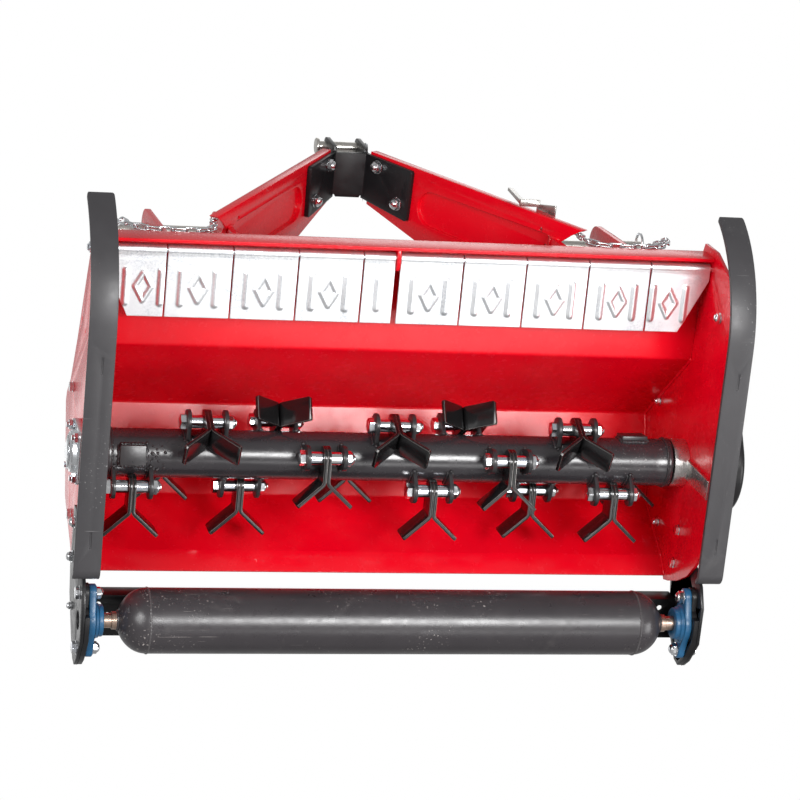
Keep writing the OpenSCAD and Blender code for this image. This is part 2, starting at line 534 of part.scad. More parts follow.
// heading of each link in the sag, and its lean towards the tractor
function head(i) = i<6 ? -90 : i<11 ? -90-18*(i-5) : i<13 ? -180 : i<16 ? -180-27*(i-12) : i==16 ? -270 : i==17 ? -255 : i==18 ? -240 : -235;
function lean(i) = i<6 ? -0.40 : 0;
function step(i) = i<21 ? unit([cos(head(i)),lean(i),sin(head(i))])*chain_p
  : unit(i==21 ? [-0.35,0.55,0.76] : i==22 ? [-0.25,0.87,0.43] : [-0.1,0.95,0.2])*chain_p;
function joint(i) = i==0 ? [hitch_w/2+132, 27, 392.5] : joint(i-1)+step(i-1);
module safety_chains() color([0.8,0.82,0.84]) part() for (s=[-1,1]) mirror([s<0?1:0,0,0])
  for (i=[0:chain_n-1]) { a = joint(i); d = step(i)/chain_p;
    translate(a+d*chain_p/2) rotate([0,-asin(d[2]),atan2(d[1],d[0])]) link(i%2==0 ? 45 : -45); }
module pto_hook() color([0.55,0.55,0.56]) part() {
  // small plate on the right leg, with a flat strip that holds the drive shaft off the ground
  leg_frame(1) translate([0,0,8.5]) linear_extrude(3) polygon([[409,-40.7],[409,-54.5],[452,-61],[452,-38.5]]);
  yz(232,240) polygon([[-63,444],[-57,447],[-53,365],[-60,362]]);
  box(232,268,-62,-50,358,366);
}

// ---------- fasteners that stay put ----------
module fasteners() color([0.8,0.82,0.84]) part() {
  // roller bearings
  for (s=[-1,1]) mirror([s<0?1:0,0,0]) for (d=[-48.5,48.5]) mirror([1,0,0])
    translate([0,0,0]) boltx(-po-6.3-0.1, 26.4, roller_y+d, 56, 6, 19);
  // roller brackets on the side plates, domed nuts outside
  for (s=[-1,1]) mirror([s<0?1:0,0,0]) for (p=[[536,163],[473,158]])
    boltx(hw-0.1, plate_t+6.6, p[0], p[1], 5.2, 16);
  // hood flange and skid bolts in the plates
  for (s=[-1,1]) mirror([s<0?1:0,0,0]) for (p=[[292,336],[498,268],[66,90]])
    mirror([1,0,0]) boltx(-po-0.1, plate_t+0.2, p[0], p[1], 5.2, 15);
  // scraper tabs
  for (s=[-1,1]) mirror([s<0?1:0,0,0]) boltx(hw-8.3, 20.7, 615, 139, 4.2, 11);
  // rotor bearing flanges
  for (s=[-1,1]) mirror([s<0?1:0,0,0]) for (a=[45:90:315]) {
    hexx(po+12.1,po+19,RY+50*cos(a),RZ+50*sin(a),16);
    cx(po+5.9,po+24,RY+50*cos(a),RZ+50*sin(a),5,24); }
  // top link bracket on the legs, domed nuts inside
  for (s=[-1,1]) leg_frame(s) for (p=[[36,-39],[92,17]]) translate([p[0],p[1],0]) {
    translate([0,0,4.1]) cylinder(h=8,r=19/2/cos(30),$fn=6);
    translate([0,0,-8.2]) cylinder(h=16,r=6,$fn=24);
    translate([0,0,-17]) cylinder(h=8.9,r=19/2/cos(30),$fn=6);
    translate([0,0,-23]) cylinder(h=6.1,r1=3.5,r2=8,$fn=24);
  }
  // gearbox feet and base
  for (x=[-60,60],y=[126,186]) { hexz(277.05,283,x+(x<0?-16:16),y,14); }
  for (x=[-88.5,88.5],y=[112,154]) { hexz(214.1,221,x,y,16); cz(209.5,214.2,x,y,5,24); }
  // idler pivot
  cx(po+33.8,po+72,IDA[0],IDA[1],8,32); hexx(po+72,po+77,IDA[0],IDA[1],22);
}

hood_shell();
side_plate_left();
side_plate_right();
front_beam();
flap_rod();
flap(0);  // flap_01
flap(1);  // flap_02
flap(2);  // flap_03
flap(3);  // flap_04
flap(4);  // flap_05
flap(5);  // flap_06
flap(6);  // flap_07
flap(7);  // flap_08
flap(8);  // flap_09
flap(9);  // flap_10
skid(-1);  // skid_left
skid(1);  // skid_right
bracket(-1);  // roller_bracket_left
bracket(1);  // roller_bracket_right
roller_bearings();
scraper_bar();
rear_roller();
rotor();
knife_bolts();
rotor_bearings();
rotor_collars();
knives(0);  // knives_01
knives(1);  // knives_02
knives(2);  // knives_03
knives(3);  // knives_04
knives(4);  // knives_05
knives(5);  // knives_06
knives(6);  // knives_07
knives(7);  // knives_08
knives(8);  // knives_09
knives(9);  // knives_10
knives(10);  // knives_11
knives(11);  // knives_12
knives(12);  // knives_13
knives(13);  // knives_14
knives(14);  // knives_15
rotor_pulley();
drive_pulley();
v_belts();
idler_arm();
idler_wheel();
belt_guard();
gearbox();
pto_shaft();
pto_guard();
cross_tube();
cross_shaft();
leg(-1);  // a_frame_left
leg(1);  // a_frame_right
top_link_bracket();
hitch_ears();
hitch_pins();
safety_chains();
pto_hook();
fasteners();
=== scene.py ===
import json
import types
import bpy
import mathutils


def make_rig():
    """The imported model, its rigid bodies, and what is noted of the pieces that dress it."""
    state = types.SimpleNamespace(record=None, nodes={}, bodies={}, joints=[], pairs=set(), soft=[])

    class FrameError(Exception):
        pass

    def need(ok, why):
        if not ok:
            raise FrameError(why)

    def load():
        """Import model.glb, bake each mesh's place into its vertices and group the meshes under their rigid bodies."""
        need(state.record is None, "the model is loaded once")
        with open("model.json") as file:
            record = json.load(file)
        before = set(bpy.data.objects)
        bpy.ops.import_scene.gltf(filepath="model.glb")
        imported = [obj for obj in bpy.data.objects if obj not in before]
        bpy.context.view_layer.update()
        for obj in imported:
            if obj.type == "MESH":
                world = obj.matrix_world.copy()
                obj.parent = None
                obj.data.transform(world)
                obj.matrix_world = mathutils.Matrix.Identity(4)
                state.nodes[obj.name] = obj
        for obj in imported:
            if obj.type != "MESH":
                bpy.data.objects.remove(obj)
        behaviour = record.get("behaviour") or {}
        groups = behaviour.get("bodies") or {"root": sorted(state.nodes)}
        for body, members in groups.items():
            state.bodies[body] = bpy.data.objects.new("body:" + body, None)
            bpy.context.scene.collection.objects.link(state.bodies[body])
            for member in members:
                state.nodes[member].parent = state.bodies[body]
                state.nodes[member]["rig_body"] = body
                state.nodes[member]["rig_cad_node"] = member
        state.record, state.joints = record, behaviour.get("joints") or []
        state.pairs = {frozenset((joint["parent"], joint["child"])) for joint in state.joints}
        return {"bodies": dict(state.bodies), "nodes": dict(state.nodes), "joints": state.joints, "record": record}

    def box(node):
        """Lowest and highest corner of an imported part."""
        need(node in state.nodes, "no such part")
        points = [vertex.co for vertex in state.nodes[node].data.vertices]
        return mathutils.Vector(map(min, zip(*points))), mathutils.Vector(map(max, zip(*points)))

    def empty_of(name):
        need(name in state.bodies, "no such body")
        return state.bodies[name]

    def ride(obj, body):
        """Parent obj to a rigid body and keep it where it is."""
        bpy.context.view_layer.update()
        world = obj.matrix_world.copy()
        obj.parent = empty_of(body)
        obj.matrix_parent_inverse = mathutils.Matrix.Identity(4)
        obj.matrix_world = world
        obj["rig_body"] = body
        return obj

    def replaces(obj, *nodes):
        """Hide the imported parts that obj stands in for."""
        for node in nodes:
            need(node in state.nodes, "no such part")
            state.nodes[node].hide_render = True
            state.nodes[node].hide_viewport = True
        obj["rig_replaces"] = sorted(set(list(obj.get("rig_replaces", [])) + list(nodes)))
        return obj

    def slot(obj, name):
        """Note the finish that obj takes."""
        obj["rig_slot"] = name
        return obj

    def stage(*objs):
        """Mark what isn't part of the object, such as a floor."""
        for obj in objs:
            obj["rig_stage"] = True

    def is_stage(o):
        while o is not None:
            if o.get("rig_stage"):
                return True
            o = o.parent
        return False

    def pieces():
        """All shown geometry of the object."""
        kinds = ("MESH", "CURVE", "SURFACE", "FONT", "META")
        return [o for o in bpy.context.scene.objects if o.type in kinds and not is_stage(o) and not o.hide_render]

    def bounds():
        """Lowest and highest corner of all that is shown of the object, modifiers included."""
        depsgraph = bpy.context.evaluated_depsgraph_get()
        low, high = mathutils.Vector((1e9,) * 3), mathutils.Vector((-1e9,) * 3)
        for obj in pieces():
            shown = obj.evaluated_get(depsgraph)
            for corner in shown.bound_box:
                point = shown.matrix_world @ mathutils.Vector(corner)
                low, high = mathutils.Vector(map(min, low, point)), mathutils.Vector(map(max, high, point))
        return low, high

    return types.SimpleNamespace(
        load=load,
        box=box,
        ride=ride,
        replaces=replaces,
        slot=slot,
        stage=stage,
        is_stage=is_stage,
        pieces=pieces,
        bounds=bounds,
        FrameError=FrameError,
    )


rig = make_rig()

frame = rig.load()

import json
import math
import random

import bmesh
import bpy
from mathutils import Matrix, Vector

lo0, hi0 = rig.bounds()
rad, sin, cos, pi = math.radians, math.sin, math.cos, math.pi
RND = random.Random(7)
NODES = frame["nodes"]

# Lengths below are in millimetres with the flap rod at y = 0 and the skid soles at z = 0;
# OX, OY move them to the row frame.
JP = {j["name"]: j["pos_m"] for j in frame["record"]["behaviour"]["joints"]}
OX = -27.375
OY = round(JP["rotor_spin"][1] * 1000 - 356.0, 3)
HW, T = 525.0, 6.0
PO = HW + T
RY, RZ, RT = 356.0, 181.0, 41.0
KR, PITCH = 63.5, 64.5
DY, DZ = 156.0, 332.0
RODZ = 165.0
ROLY, ROLZ = 608.0, 56.0
HITCH, LPY, LPZ = 347.0, 38.5, 436.0
TPY, TPZ = -52.0, 763.0
SEQ = "AECPDBECADBPCAE"
ROW = dict(A=45, P=105, E=165, D=225, C=285, B=345)
HANG = dict(C=26, D=-35, B=86)
LUGX = 31.5
HOOD = [(-16, 198), (174, 203), (336, 404), (484, 342), (546, 227), (573, 198)]


def pin(i):
    a = rad(ROW[SEQ[i]])
    return RY + KR * sin(a), RZ - KR * cos(a)


def setx(i):
    return (i - 7) * PITCH - (5 if SEQ[i] in "CD" else 0)


def mm(v):
    return Vector(((v[0] + OX) / 1000, (v[1] + OY) / 1000, v[2] / 1000))


# ------------------------------------------------------------------ materials
class Mat:
    def __init__(s, name):
        s.m = bpy.data.materials.new(name)
        s.m.use_nodes = True
        s.t = s.m.node_tree
        s.t.nodes.clear()
        s.out = s.n("ShaderNodeOutputMaterial")
        s.b = s.n("ShaderNodeBsdfPrincipled")
        s.t.links.new(s.b.outputs[0], s.out.inputs[0])
        s.tc = s.n("ShaderNodeTexCoord").outputs["Object"]
        s.geo = s.n("ShaderNodeNewGeometry")

    def n(s, kind, **kw):
        x = s.t.nodes.new(kind)
        for k, v in kw.items():
            setattr(x, k, v)
        return x

    def put(s, sock, v):
        if isinstance(v, bpy.types.NodeSocket):
            s.t.links.new(v, sock)
        else:
            sock.default_value = v
        return s

    def set(s, **kw):
        names = dict(base="Base Color", metal="Metallic", rough="Roughness", coat="Coat Weight", coat_rough="Coat Roughness",
                     ior="IOR", normal="Normal", sheen="Sheen Weight", aniso="Anisotropic", spec="Specular IOR Level", coat_normal="Coat Normal")
        for k, v in kw.items():
            s.put(s.b.inputs[names[k]], v)
        return s

    def stretch(s, x=1.0, y=1.0, z=1.0, rot=(0, 0, 0)):
        m = s.n("ShaderNodeMapping")
        m.inputs["Scale"].default_value = (x, y, z)
        m.inputs["Rotation"].default_value = rot
        s.put(m.inputs["Vector"], s.tc)
        return m.outputs[0]

    def noise(s, scale, detail=3.0, rough=0.55, co=None, dist=0.0):
        x = s.n("ShaderNodeTexNoise")
        x.inputs["Scale"].default_value = scale
        x.inputs["Detail"].default_value = detail
        x.inputs["Roughness"].default_value = rough
        x.inputs["Distortion"].default_value = dist
        s.put(x.inputs["Vector"], co if co is not None else s.tc)
        return x.outputs["Fac"]

    def cells(s, scale, co=None, feature="F1", out="Distance"):
        x = s.n("ShaderNodeTexVoronoi", feature=feature)
        x.inputs["Scale"].default_value = scale
        s.put(x.inputs["Vector"], co if co is not None else s.tc)
        return x.outputs[out]

    def span(s, v, a, b, lo=0.0, hi=1.0):
        x = s.n("ShaderNodeMapRange", clamp=True)
        s.put(x.inputs["Value"], v)
        for k, w in (("From Min", a), ("From Max", b), ("To Min", lo), ("To Max", hi)):
            x.inputs[k].default_value = w
        return x.outputs[0]

    def math(s, op, a, b=0.0):
        x = s.n("ShaderNodeMath", operation=op)
        s.put(x.inputs[0], a)
        s.put(x.inputs[1], b)
        return x.outputs[0]

    def mix(s, f, a, b):
        x = s.n("ShaderNodeMix", data_type="RGBA")
        s.put(x.inputs[0], f)
        for sock, v in ((x.inputs[6], a), (x.inputs[7], b)):
            s.put(sock, v if isinstance(v, bpy.types.NodeSocket) else (*v, 1.0))
        return x.outputs[2]

    def bump(s, h, strength=0.3, dist=0.001, normal=None):
        x = s.n("ShaderNodeBump")
        x.inputs["Strength"].default_value = strength
        x.inputs["Distance"].default_value = dist
        s.put(x.inputs["Height"], h)
        if normal is not None:
            s.put(x.inputs["Normal"], normal)
        return x.outputs[0]

    def axis(s, which, co=None):
        x = s.n("ShaderNodeSeparateXYZ")
        s.put(x.inputs[0], co if co is not None else s.tc)
        return x.outputs[which]


def red_paint(name, base=(0.80, 0.0006, 0.013), deep=(0.70, 0.0004, 0.009), rough=0.24, dust=0.035):
    m = Mat(name)
    big = m.noise(2.6, 2.0)
    fine = m.noise(60, 4.0, 0.6)
    col = m.mix(m.span(big, 0.35, 0.68), deep, base)
    specks = m.span(m.cells(95, feature="F1"), 0.0, 0.055, 1.0, 0.0)
    rare = m.span(m.noise(9, 2.0), 0.62, 0.70)
    spot = m.math("MULTIPLY", specks, rare)
    col = m.mix(m.math("MULTIPLY", spot, 0.5), col, (0.80, 0.35, 0.33))
    film = m.span(m.noise(7, 5.0, 0.65), 0.46, 0.80, 0.0, dust)
    col = m.mix(film, col, (0.78, 0.30, 0.30))
    r = m.math("ADD", m.span(fine, 0.3, 0.7, rough - 0.03, rough + 0.05), m.math("MULTIPLY", film, 0.9))
    peel = m.noise(330, 2.0)
    wave = m.noise(6.0, 1.0)
    nb = m.bump(wave, 0.10, 0.010)
    nb = m.bump(peel, 0.08, 0.0006, nb)
    m.set(base=col, rough=r, coat=0.14, coat_rough=0.12, spec=0.30, normal=nb)
    return m.m


def dark_coat(name, base, worn, rough=0.42, wear=0.5, scale=1.0, grain=260.0, scratch=True, coat=0.0, spec=0.45, specks=0.0, lift=1.35):
    """Satin dark coating with cloudy tone, fine texture, thin scratches and patches of small pale specks."""
    m = Mat(name)
    tone = m.span(m.noise(5.5 * scale, 4.0, 0.6), 0.34, 0.70)
    col = m.mix(tone, base, tuple(min(1, c * lift + 0.003) for c in base))
    fac = m.math("MULTIPLY", m.span(m.noise(14 * scale, 6.0, 0.72, dist=0.6), 0.58, 0.76), wear * 0.12)
    if scratch:
        for k, (rot, st) in enumerate((((0.1, 0.1, 0.3), (5, 210, 210)), ((0.9, 0.1, 1.5), (190, 6, 190)))):
            line = m.span(m.noise(3.0 * scale, 2.0, 0.4, co=m.stretch(*st, rot=rot)), 0.735, 0.76)
            patch = m.span(m.noise(6.0 * scale + k, 2.0), 0.53, 0.62)
            fac = m.math("MAXIMUM", fac, m.math("MULTIPLY", m.math("MULTIPLY", line, patch), wear))
    if specks:
        dots = m.span(m.noise(240, 2.0, 0.5), 0.655, 0.70)
        area = m.span(m.noise(4.6, 3.0, 0.6), 0.53, 0.64)
        fac = m.math("MAXIMUM", fac, m.math("MULTIPLY", m.math("MULTIPLY", dots, area), specks))
    col = m.mix(fac, col, worn)
    r = m.math("ADD", m.span(m.noise(40 * scale, 3.0), 0.3, 0.7, rough - 0.05, rough + 0.06), m.math("MULTIPLY", fac, 0.15))
    nb = m.bump(m.noise(grain, 3.0, 0.6), 0.10, 0.0006)
    nb = m.bump(m.noise(26 * scale, 2.0), 0.08, 0.002, nb)
    m.set(base=col, rough=r, coat=coat, coat_rough=0.18, spec=spec, normal=nb)
    return m.m


def zinc(name, tint=(0.88, 0.89, 0.91), rough=0.17, blue=0.25, aniso=0.0, vary=0.88):
    m = Mat(name)
    f = m.span(m.noise(24, 3.0, 0.5), 0.36, 0.68)
    col = m.mix(f, tint, tuple(c * vary for c in tint))
    irid = m.span(m.noise(46, 2.0), 0.50, 0.74, 0.0, blue)
    col = m.mix(irid, col, (0.56, 0.66, 0.90))
    gold = m.span(m.noise(35, 2.0), 0.58, 0.78, 0.0, blue * 0.6)
    col = m.mix(gold, col, (0.93, 0.84, 0.66))
    r = m.span(m.noise(90, 3.0), 0.3, 0.7, rough - 0.04, rough + 0.07)
    m.set(base=col, metal=1.0, rough=r, aniso=aniso, normal=m.bump(m.noise(420, 2.0), 0.06, 0.0002))
    return m.m


def galvanised(name):
    """Zinc coated sheet: satin, with soft crystal patches, drag lines and clouds of fine grey specks."""
    m = Mat(name)
    a = m.cells(55, out="Color")
    tone = m.span(m.axis(0, a), 0.0, 1.0)
    cloud = m.span(m.noise(10, 4.0, 0.62), 0.45, 0.66)
    grain = m.span(m.noise(260, 4.0, 0.75), 0.44, 0.62)
    speck = m.math("MULTIPLY", cloud, grain)
    mott = m.span(m.noise(20, 5.0, 0.7), 0.36, 0.66)
    f = m.math("ADD", m.math("MULTIPLY", tone, 0.10), m.math("ADD", m.math("MULTIPLY", speck, 0.62), m.math("MULTIPLY", mott, 0.20)))
    col = m.mix(f, (0.93, 0.94, 0.955), (0.47, 0.50, 0.54))
    drag = m.span(m.noise(4.0, 3.0, co=m.stretch(12, 90, 90, rot=(0, 0, 0.06))), 0.60, 0.75, 0.0, 0.35)
    col = m.mix(drag, col, (0.96, 0.97, 0.98))
    r = m.math("ADD", m.span(mott, 0.0, 1.0, 0.30, 0.44), m.math("MULTIPLY", tone, 0.04))
    nb = m.bump(m.noise(14, 2.0), 0.22, 0.0045)
    nb = m.bump(m.noise(420, 3.0), 0.12, 0.0004, nb)
    m.set(base=col, metal=0.94, rough=r, normal=nb)
    return m.m


def turned(name, col1=(0.66, 0.64, 0.61), col2=(0.50, 0.48, 0.45), rough=0.27, axis=0, rust=0.0):
    """Turned or drawn steel: fine rings round the axis, light staining."""
    m = Mat(name)
    st = [30, 30, 30]
    st[axis] = 900
    rings = m.noise(1.0, 3.0, 0.7, co=m.stretch(*st))
    col = m.mix(m.span(rings, 0.3, 0.7), col1, col2)
    st2 = m.span(m.noise(30, 4.0, 0.6), 0.45, 0.75, 0.0, 0.35 + rust)
    col = m.mix(st2, col, (0.36, 0.24, 0.16) if rust else tuple(c * 0.72 for c in col1))
    r = m.span(m.noise(60, 3.0), 0.3, 0.7, rough - 0.05, rough + 0.10)
    m.set(base=col, metal=0.95, rough=r, aniso=0.3, normal=m.bump(rings, 0.10, 0.0004))
    return m.m


def cast_paint(name, base, rough=0.46, chips=(0.30, 0.28, 0.27)):
    m = Mat(name)
    col = m.mix(m.span(m.noise(18, 4.0), 0.34, 0.7), base, tuple(c * 1.5 + 0.004 for c in base))
    chip = m.span(m.noise(62, 5.0, 0.72), 0.66, 0.70, 0.0, 0.6)
    col = m.mix(chip, col, chips)
    nb = m.bump(m.noise(170, 4.0, 0.6), 0.42, 0.0012)
    m.set(base=col, rough=m.span(m.noise(50, 2.0), 0.3, 0.7, rough - 0.07, rough + 0.08), spec=0.5, normal=nb)
    return m.m


RED = red_paint("red_paint")
BLACK = dark_coat("black_coat", (0.0075, 0.0072, 0.0082), (0.09, 0.09, 0.095), rough=0.33, wear=0.3, spec=0.4)
SKID = dark_coat("skid_coat", (0.040, 0.038, 0.041), (0.36, 0.35, 0.35), rough=0.40, wear=0.6, spec=0.5, specks=0.9, lift=1.2)
ROLLER = dark_coat("roller_coat", (0.030, 0.026, 0.029), (0.42, 0.38, 0.36), rough=0.30, wear=0.6, grain=150, spec=0.62, specks=1.0, lift=1.2)
ROTOR = dark_coat("rotor_coat", (0.024, 0.021, 0.024), (0.30, 0.28, 0.28), rough=0.25, wear=0.4, grain=110, scratch=False, spec=0.78, specks=0.35, lift=1.2)
LUGM = dark_coat("lug_coat", (0.020, 0.019, 0.021), (0.22, 0.21, 0.21), rough=0.30, wear=0.4, grain=180, scratch=False, spec=0.6)
KNIFE = dark_coat("knife_gloss", (0.0042, 0.0038, 0.0042), (0.05, 0.045, 0.045), rough=0.17, wear=0.3, grain=130, scratch=False, coat=0.4, spec=0.5)
KEDGE = turned("knife_edge", (0.42, 0.40, 0.38), (0.16, 0.15, 0.15), rough=0.26)
LEDGE = turned("lug_edge", (0.20, 0.19, 0.19), (0.08, 0.08, 0.08), rough=0.30)
ZINC = zinc("bright_zinc")
SLEEVE = zinc("sleeve_zinc", (0.86, 0.88, 0.92), rough=0.13, blue=0.45)
ZSHEET = zinc("zinc_casting", (0.80, 0.82, 0.84), rough=0.24, blue=0.10, vary=0.92)
CHAIN = zinc("chain_zinc", (0.80, 0.81, 0.83), rough=0.20, blue=0.10)
GALV = galvanised("galvanised_sheet")
STEEL = turned("turned_steel")
COLLAR = turned("collar_steel", (0.74, 0.72, 0.70), (0.55, 0.53, 0.51), rough=0.25)
COPPER = turned("axle_steel", (0.60, 0.47, 0.40), (0.36, 0.24, 0.18), rough=0.28, rust=0.25)
PINM = turned("pin_steel", (0.78, 0.75, 0.70), (0.62, 0.60, 0.56), rough=0.28)
BLUE = cast_paint("blue_casting", (0.010, 0.075, 0.165), rough=0.34)
GREY = cast_paint("grey_casting", (0.045, 0.047, 0.052), rough=0.42)
ROLLW = cast_paint("roller_weld", (0.055, 0.050, 0.052), rough=0.26, chips=(0.55, 0.50, 0.48))
WELDM = cast_paint("weld_bead", (0.024, 0.022, 0.024), rough=0.30, chips=(0.16, 0.14, 0.12))


def rubber():
    m = Mat("belt_rubber")
    rib = m.noise(700, 2.0)
    m.set(base=m.mix(m.span(m.noise(45, 3.0), 0.3, 0.7), (0.011, 0.011, 0.012), (0.026, 0.025, 0.025)), rough=m.span(rib, 0.3, 0.7, 0.55, 0.75), normal=m.bump(rib, 0.25, 0.0004))
    return m.m


def plastic():
    m = Mat("black_moulding")
    g = m.cells(900)
    m.set(base=m.mix(m.span(m.noise(20, 3.0), 0.3, 0.7), (0.010, 0.010, 0.011), (0.020, 0.020, 0.021)), rough=m.span(m.noise(30, 2.0), 0.3, 0.7, 0.42, 0.56), normal=m.bump(g, 0.25, 0.0004))
    return m.m


RUBBER, PLASTIC = rubber(), plastic()


def floor_mat():
    m = Mat("pale_floor")
    m.set(base=m.mix(m.span(m.noise(0.6, 3.0), 0.3, 0.7), (0.86, 0.86, 0.86), (0.90, 0.90, 0.90)), rough=0.75, spec=0.2)
    return m.m


# ------------------------------------------------------------------ mesh helpers
def finish_mesh(name, bm, body, mats, reps=(), smooth=38.0, bevel=0.0, seg=2, bevmat=-1, bang=32.0, slot=None, subsurf=0, in_mm=True):
    me = bpy.data.meshes.new(name)
    if in_mm:
        for v in bm.verts:
            v.co = mm(v.co)
    bmesh.ops.recalc_face_normals(bm, faces=bm.faces)
    bm.to_mesh(me)
    bm.free()
    for m in (mats if isinstance(mats, (list, tuple)) else [mats]):
        me.materials.append(m)
    ob = bpy.data.objects.new(name, me)
    bpy.context.scene.collection.objects.link(ob)
    me.shade_smooth()
    if bevel:
        md = ob.modifiers.new("bevel", "BEVEL")
        md.width = bevel / 1000
        md.segments = seg
        md.limit_method = "ANGLE"
        md.angle_limit = rad(bang)
        md.use_clamp_overlap = False
        md.harden_normals = False
        md.material = bevmat
    if subsurf:
        md = ob.modifiers.new("sub", "SUBSURF")
        md.levels = md.render_levels = subsurf
    if ob.modifiers:
        bpy.context.view_layer.update()
        dg = bpy.context.evaluated_depsgraph_get()
        new = bpy.data.meshes.new_from_object(ob.evaluated_get(dg))
        ob.modifiers.clear()
        ob.data = new
        bpy.data.meshes.remove(me)
        me = new
        me.name = name
    me.shade_smooth()
    me.set_sharp_from_angle(angle=rad(smooth))
    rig.ride(ob, body)
    if reps:
        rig.replaces(ob, *reps)
    if slot:
        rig.slot(ob, slot)
    return ob


BODY = {}
for _b, _ns in frame["record"]["behaviour"]["bodies"].items():
    for _n in _ns:
        BODY[_n] = _b
SLOT = {}
for _s in frame["record"]["subparts"]:
    SLOT[_s["node"]] = _s.get("material_slot")


def refine(node, mats, bevel=0.8, seg=2, bang=34.0, smooth=40.0, bevmat=-1, paint=None, name=None):
    """A CAD node's surface with its flat faces joined and its edges rounded, standing for the node."""
    src = NODES[node].data
    bm = bmesh.new()
    bm.from_mesh(src)
    bmesh.ops.remove_doubles(bm, verts=bm.verts, dist=3e-6)
    bmesh.ops.dissolve_limit(bm, angle_limit=rad(0.8), use_dissolve_boundaries=False, verts=bm.verts, edges=bm.edges, delimit=set())
    for f in bm.faces:
        f.material_index = 0
    if paint:
        for f in bm.faces:
            c = f.calc_center_median()
            f.material_index = paint(c.x * 1000 - OX, c.y * 1000 - OY, c.z * 1000, f)
    return finish_mesh(name or node + "_skin", bm, BODY[node], mats, reps=(node,), bevel=bevel, seg=seg, bang=bang, smooth=smooth, bevmat=bevmat, slot=SLOT[node], in_mm=False)


def ring_faces(bm, a, b, closed=True):
    n = len(a)
    for i in range(n if closed else n - 1):
        j = (i + 1) % n
        if a[i] is b[i] and a[j] is b[j]:
            continue
        vs = []
        for v in (a[i], a[j], b[j], b[i]):
            if v not in vs:
                vs.append(v)
        if len(vs) > 2:
            try:
                bm.faces.new(vs)
            except ValueError:
                pass


def lathe(bm, prof, y, z, seg=96, axis="x", x=0.0, mi=0, wob=None):
    """Turn a profile [(along, radius)] round a line through (x, y, z) along the axis."""
    rings = []
    for a, r in prof:
        if r < 1e-6:
            c = (a, y, z) if axis == "x" else (x, a, z) if axis == "y" else (x, y, a)
            v = bm.verts.new(c)
            rings.append([v] * seg)
            continue
        ring = []
        for k in range(seg):
            t = 2 * pi * k / seg
            rr = r + (wob(a, t) if wob else 0)
            c, s = rr * cos(t), rr * sin(t)
            ring.append(bm.verts.new((a, y + c, z + s) if axis == "x" else (x + c, a, z + s) if axis == "y" else (x + c, y + s, a)))
        rings.append(ring)
    before = len(bm.faces)
    for a, b in zip(rings, rings[1:]):
        ring_faces(bm, a, b)
    bm.faces.ensure_lookup_table()
    for f in bm.faces[before:]:
        f.material_index = mi
    return rings


def cap(bm, ring, mi=0):
    try:
        f = bm.faces.new(ring)
        f.material_index = mi
    except ValueError:
        pass


def hexa(bm, x0, x1, y, z, af, chamfer_lo=False, chamfer_hi=True, turn=0.0, mi=0, axis="x", seg=48, hole=0.0):
    """Hexagon body from x0 to x1 with the turned chamfer that a real nut or head has."""
    R = af / 2
    d = 1 if x1 > x0 else -1
    h = abs(x1 - x0)
    cols = []
    rc = R * 0.93
    for k in range(seg):
        t = 2 * pi * k / seg
        m = ((t + turn + pi / 6) % (pi / 3)) - pi / 6
        rh = R / cos(m)
        drop = max(0.0, (rh - rc) * 0.52)
        zs = [(0.0, rc if chamfer_lo else rh)]
        zs.append((min(drop, h / 2) if chamfer_lo else 0.0, rh))
        zs.append((h - (min(drop, h / 2) if chamfer_hi else 0.0), rh))
        zs.append((h, rc if chamfer_hi else rh))
        cols.append([(x0 + d * a, r, t) for a, r in zs])

    def at(a, r, t):
        c, s = r * cos(t), r * sin(t)
        if axis == "x":
            return (a, y + c, z + s)
        if axis == "z":
            return (y + c, z + s, a)
        return (y + c, a, z + s)

    rings = [[bm.verts.new(at(*c[i])) for c in cols] for i in range(4)]
    before = len(bm.faces)
    for a, b in zip(rings, rings[1:]):
        ring_faces(bm, a, b)
    for end in (0, 3):
        if hole:
            inner = [bm.verts.new(at(x0 if end == 0 else x1, hole, 2 * pi * k / seg)) for k in range(seg)]
            ring_faces(bm, rings[end], inner)
        else:
            bm.faces.new(rings[end])
    bm.faces.ensure_lookup_table()
    for f in bm.faces[before:]:
        f.material_index = mi


def dome(bm, x0, x1, y, z, r, mi=0, axis="x", seg=32, flat=0.25):
    """Rounded cap of radius r starting at x0 and ending at x1."""
    prof = []
    for k in range(8):
        t = k / 7 * pi / 2
        prof.append((x0 + (x1 - x0) * sin(t), max(r * cos(t), r * flat * 0.0)))
    prof[-1] = (x1, 0.0)
    if axis == "x":
        lathe(bm, prof, y, z, seg, mi=mi)
    elif axis == "z":
        lathe(bm, prof, z, 0, seg, "z", x=y, mi=mi) if False else lathe2(bm, prof, (y, z), seg, mi)
    return prof


def lathe2(bm, prof, c, seg=32, mi=0):
    """Turn [(z, radius)] round a vertical line through c = (x, y)."""
    rings = []
    for a, r in prof:
        if r < 1e-6:
            v = bm.verts.new((c[0], c[1], a))
            rings.append([v] * seg)
        else:
            rings.append([bm.verts.new((c[0] + r * cos(2 * pi * k / seg), c[1] + r * sin(2 * pi * k / seg), a)) for k in range(seg)])
    before = len(bm.faces)
    for a, b in zip(rings, rings[1:]):
        ring_faces(bm, a, b)
    bm.faces.ensure_lookup_table()
    for f in bm.faces[before:]:
        f.material_index = mi


def washer(bm, x0, x1, y, z, r, mi=0, hole=0.0):
    c = min(0.5, abs(x1 - x0) / 3)
    d = 1 if x1 > x0 else -1
    lathe(bm, [(x0, hole), (x0, r - c), (x0 + d * c, r), (x1 - d * c, r), (x1, r - c), (x1, hole)], y, z, 40, mi=mi)


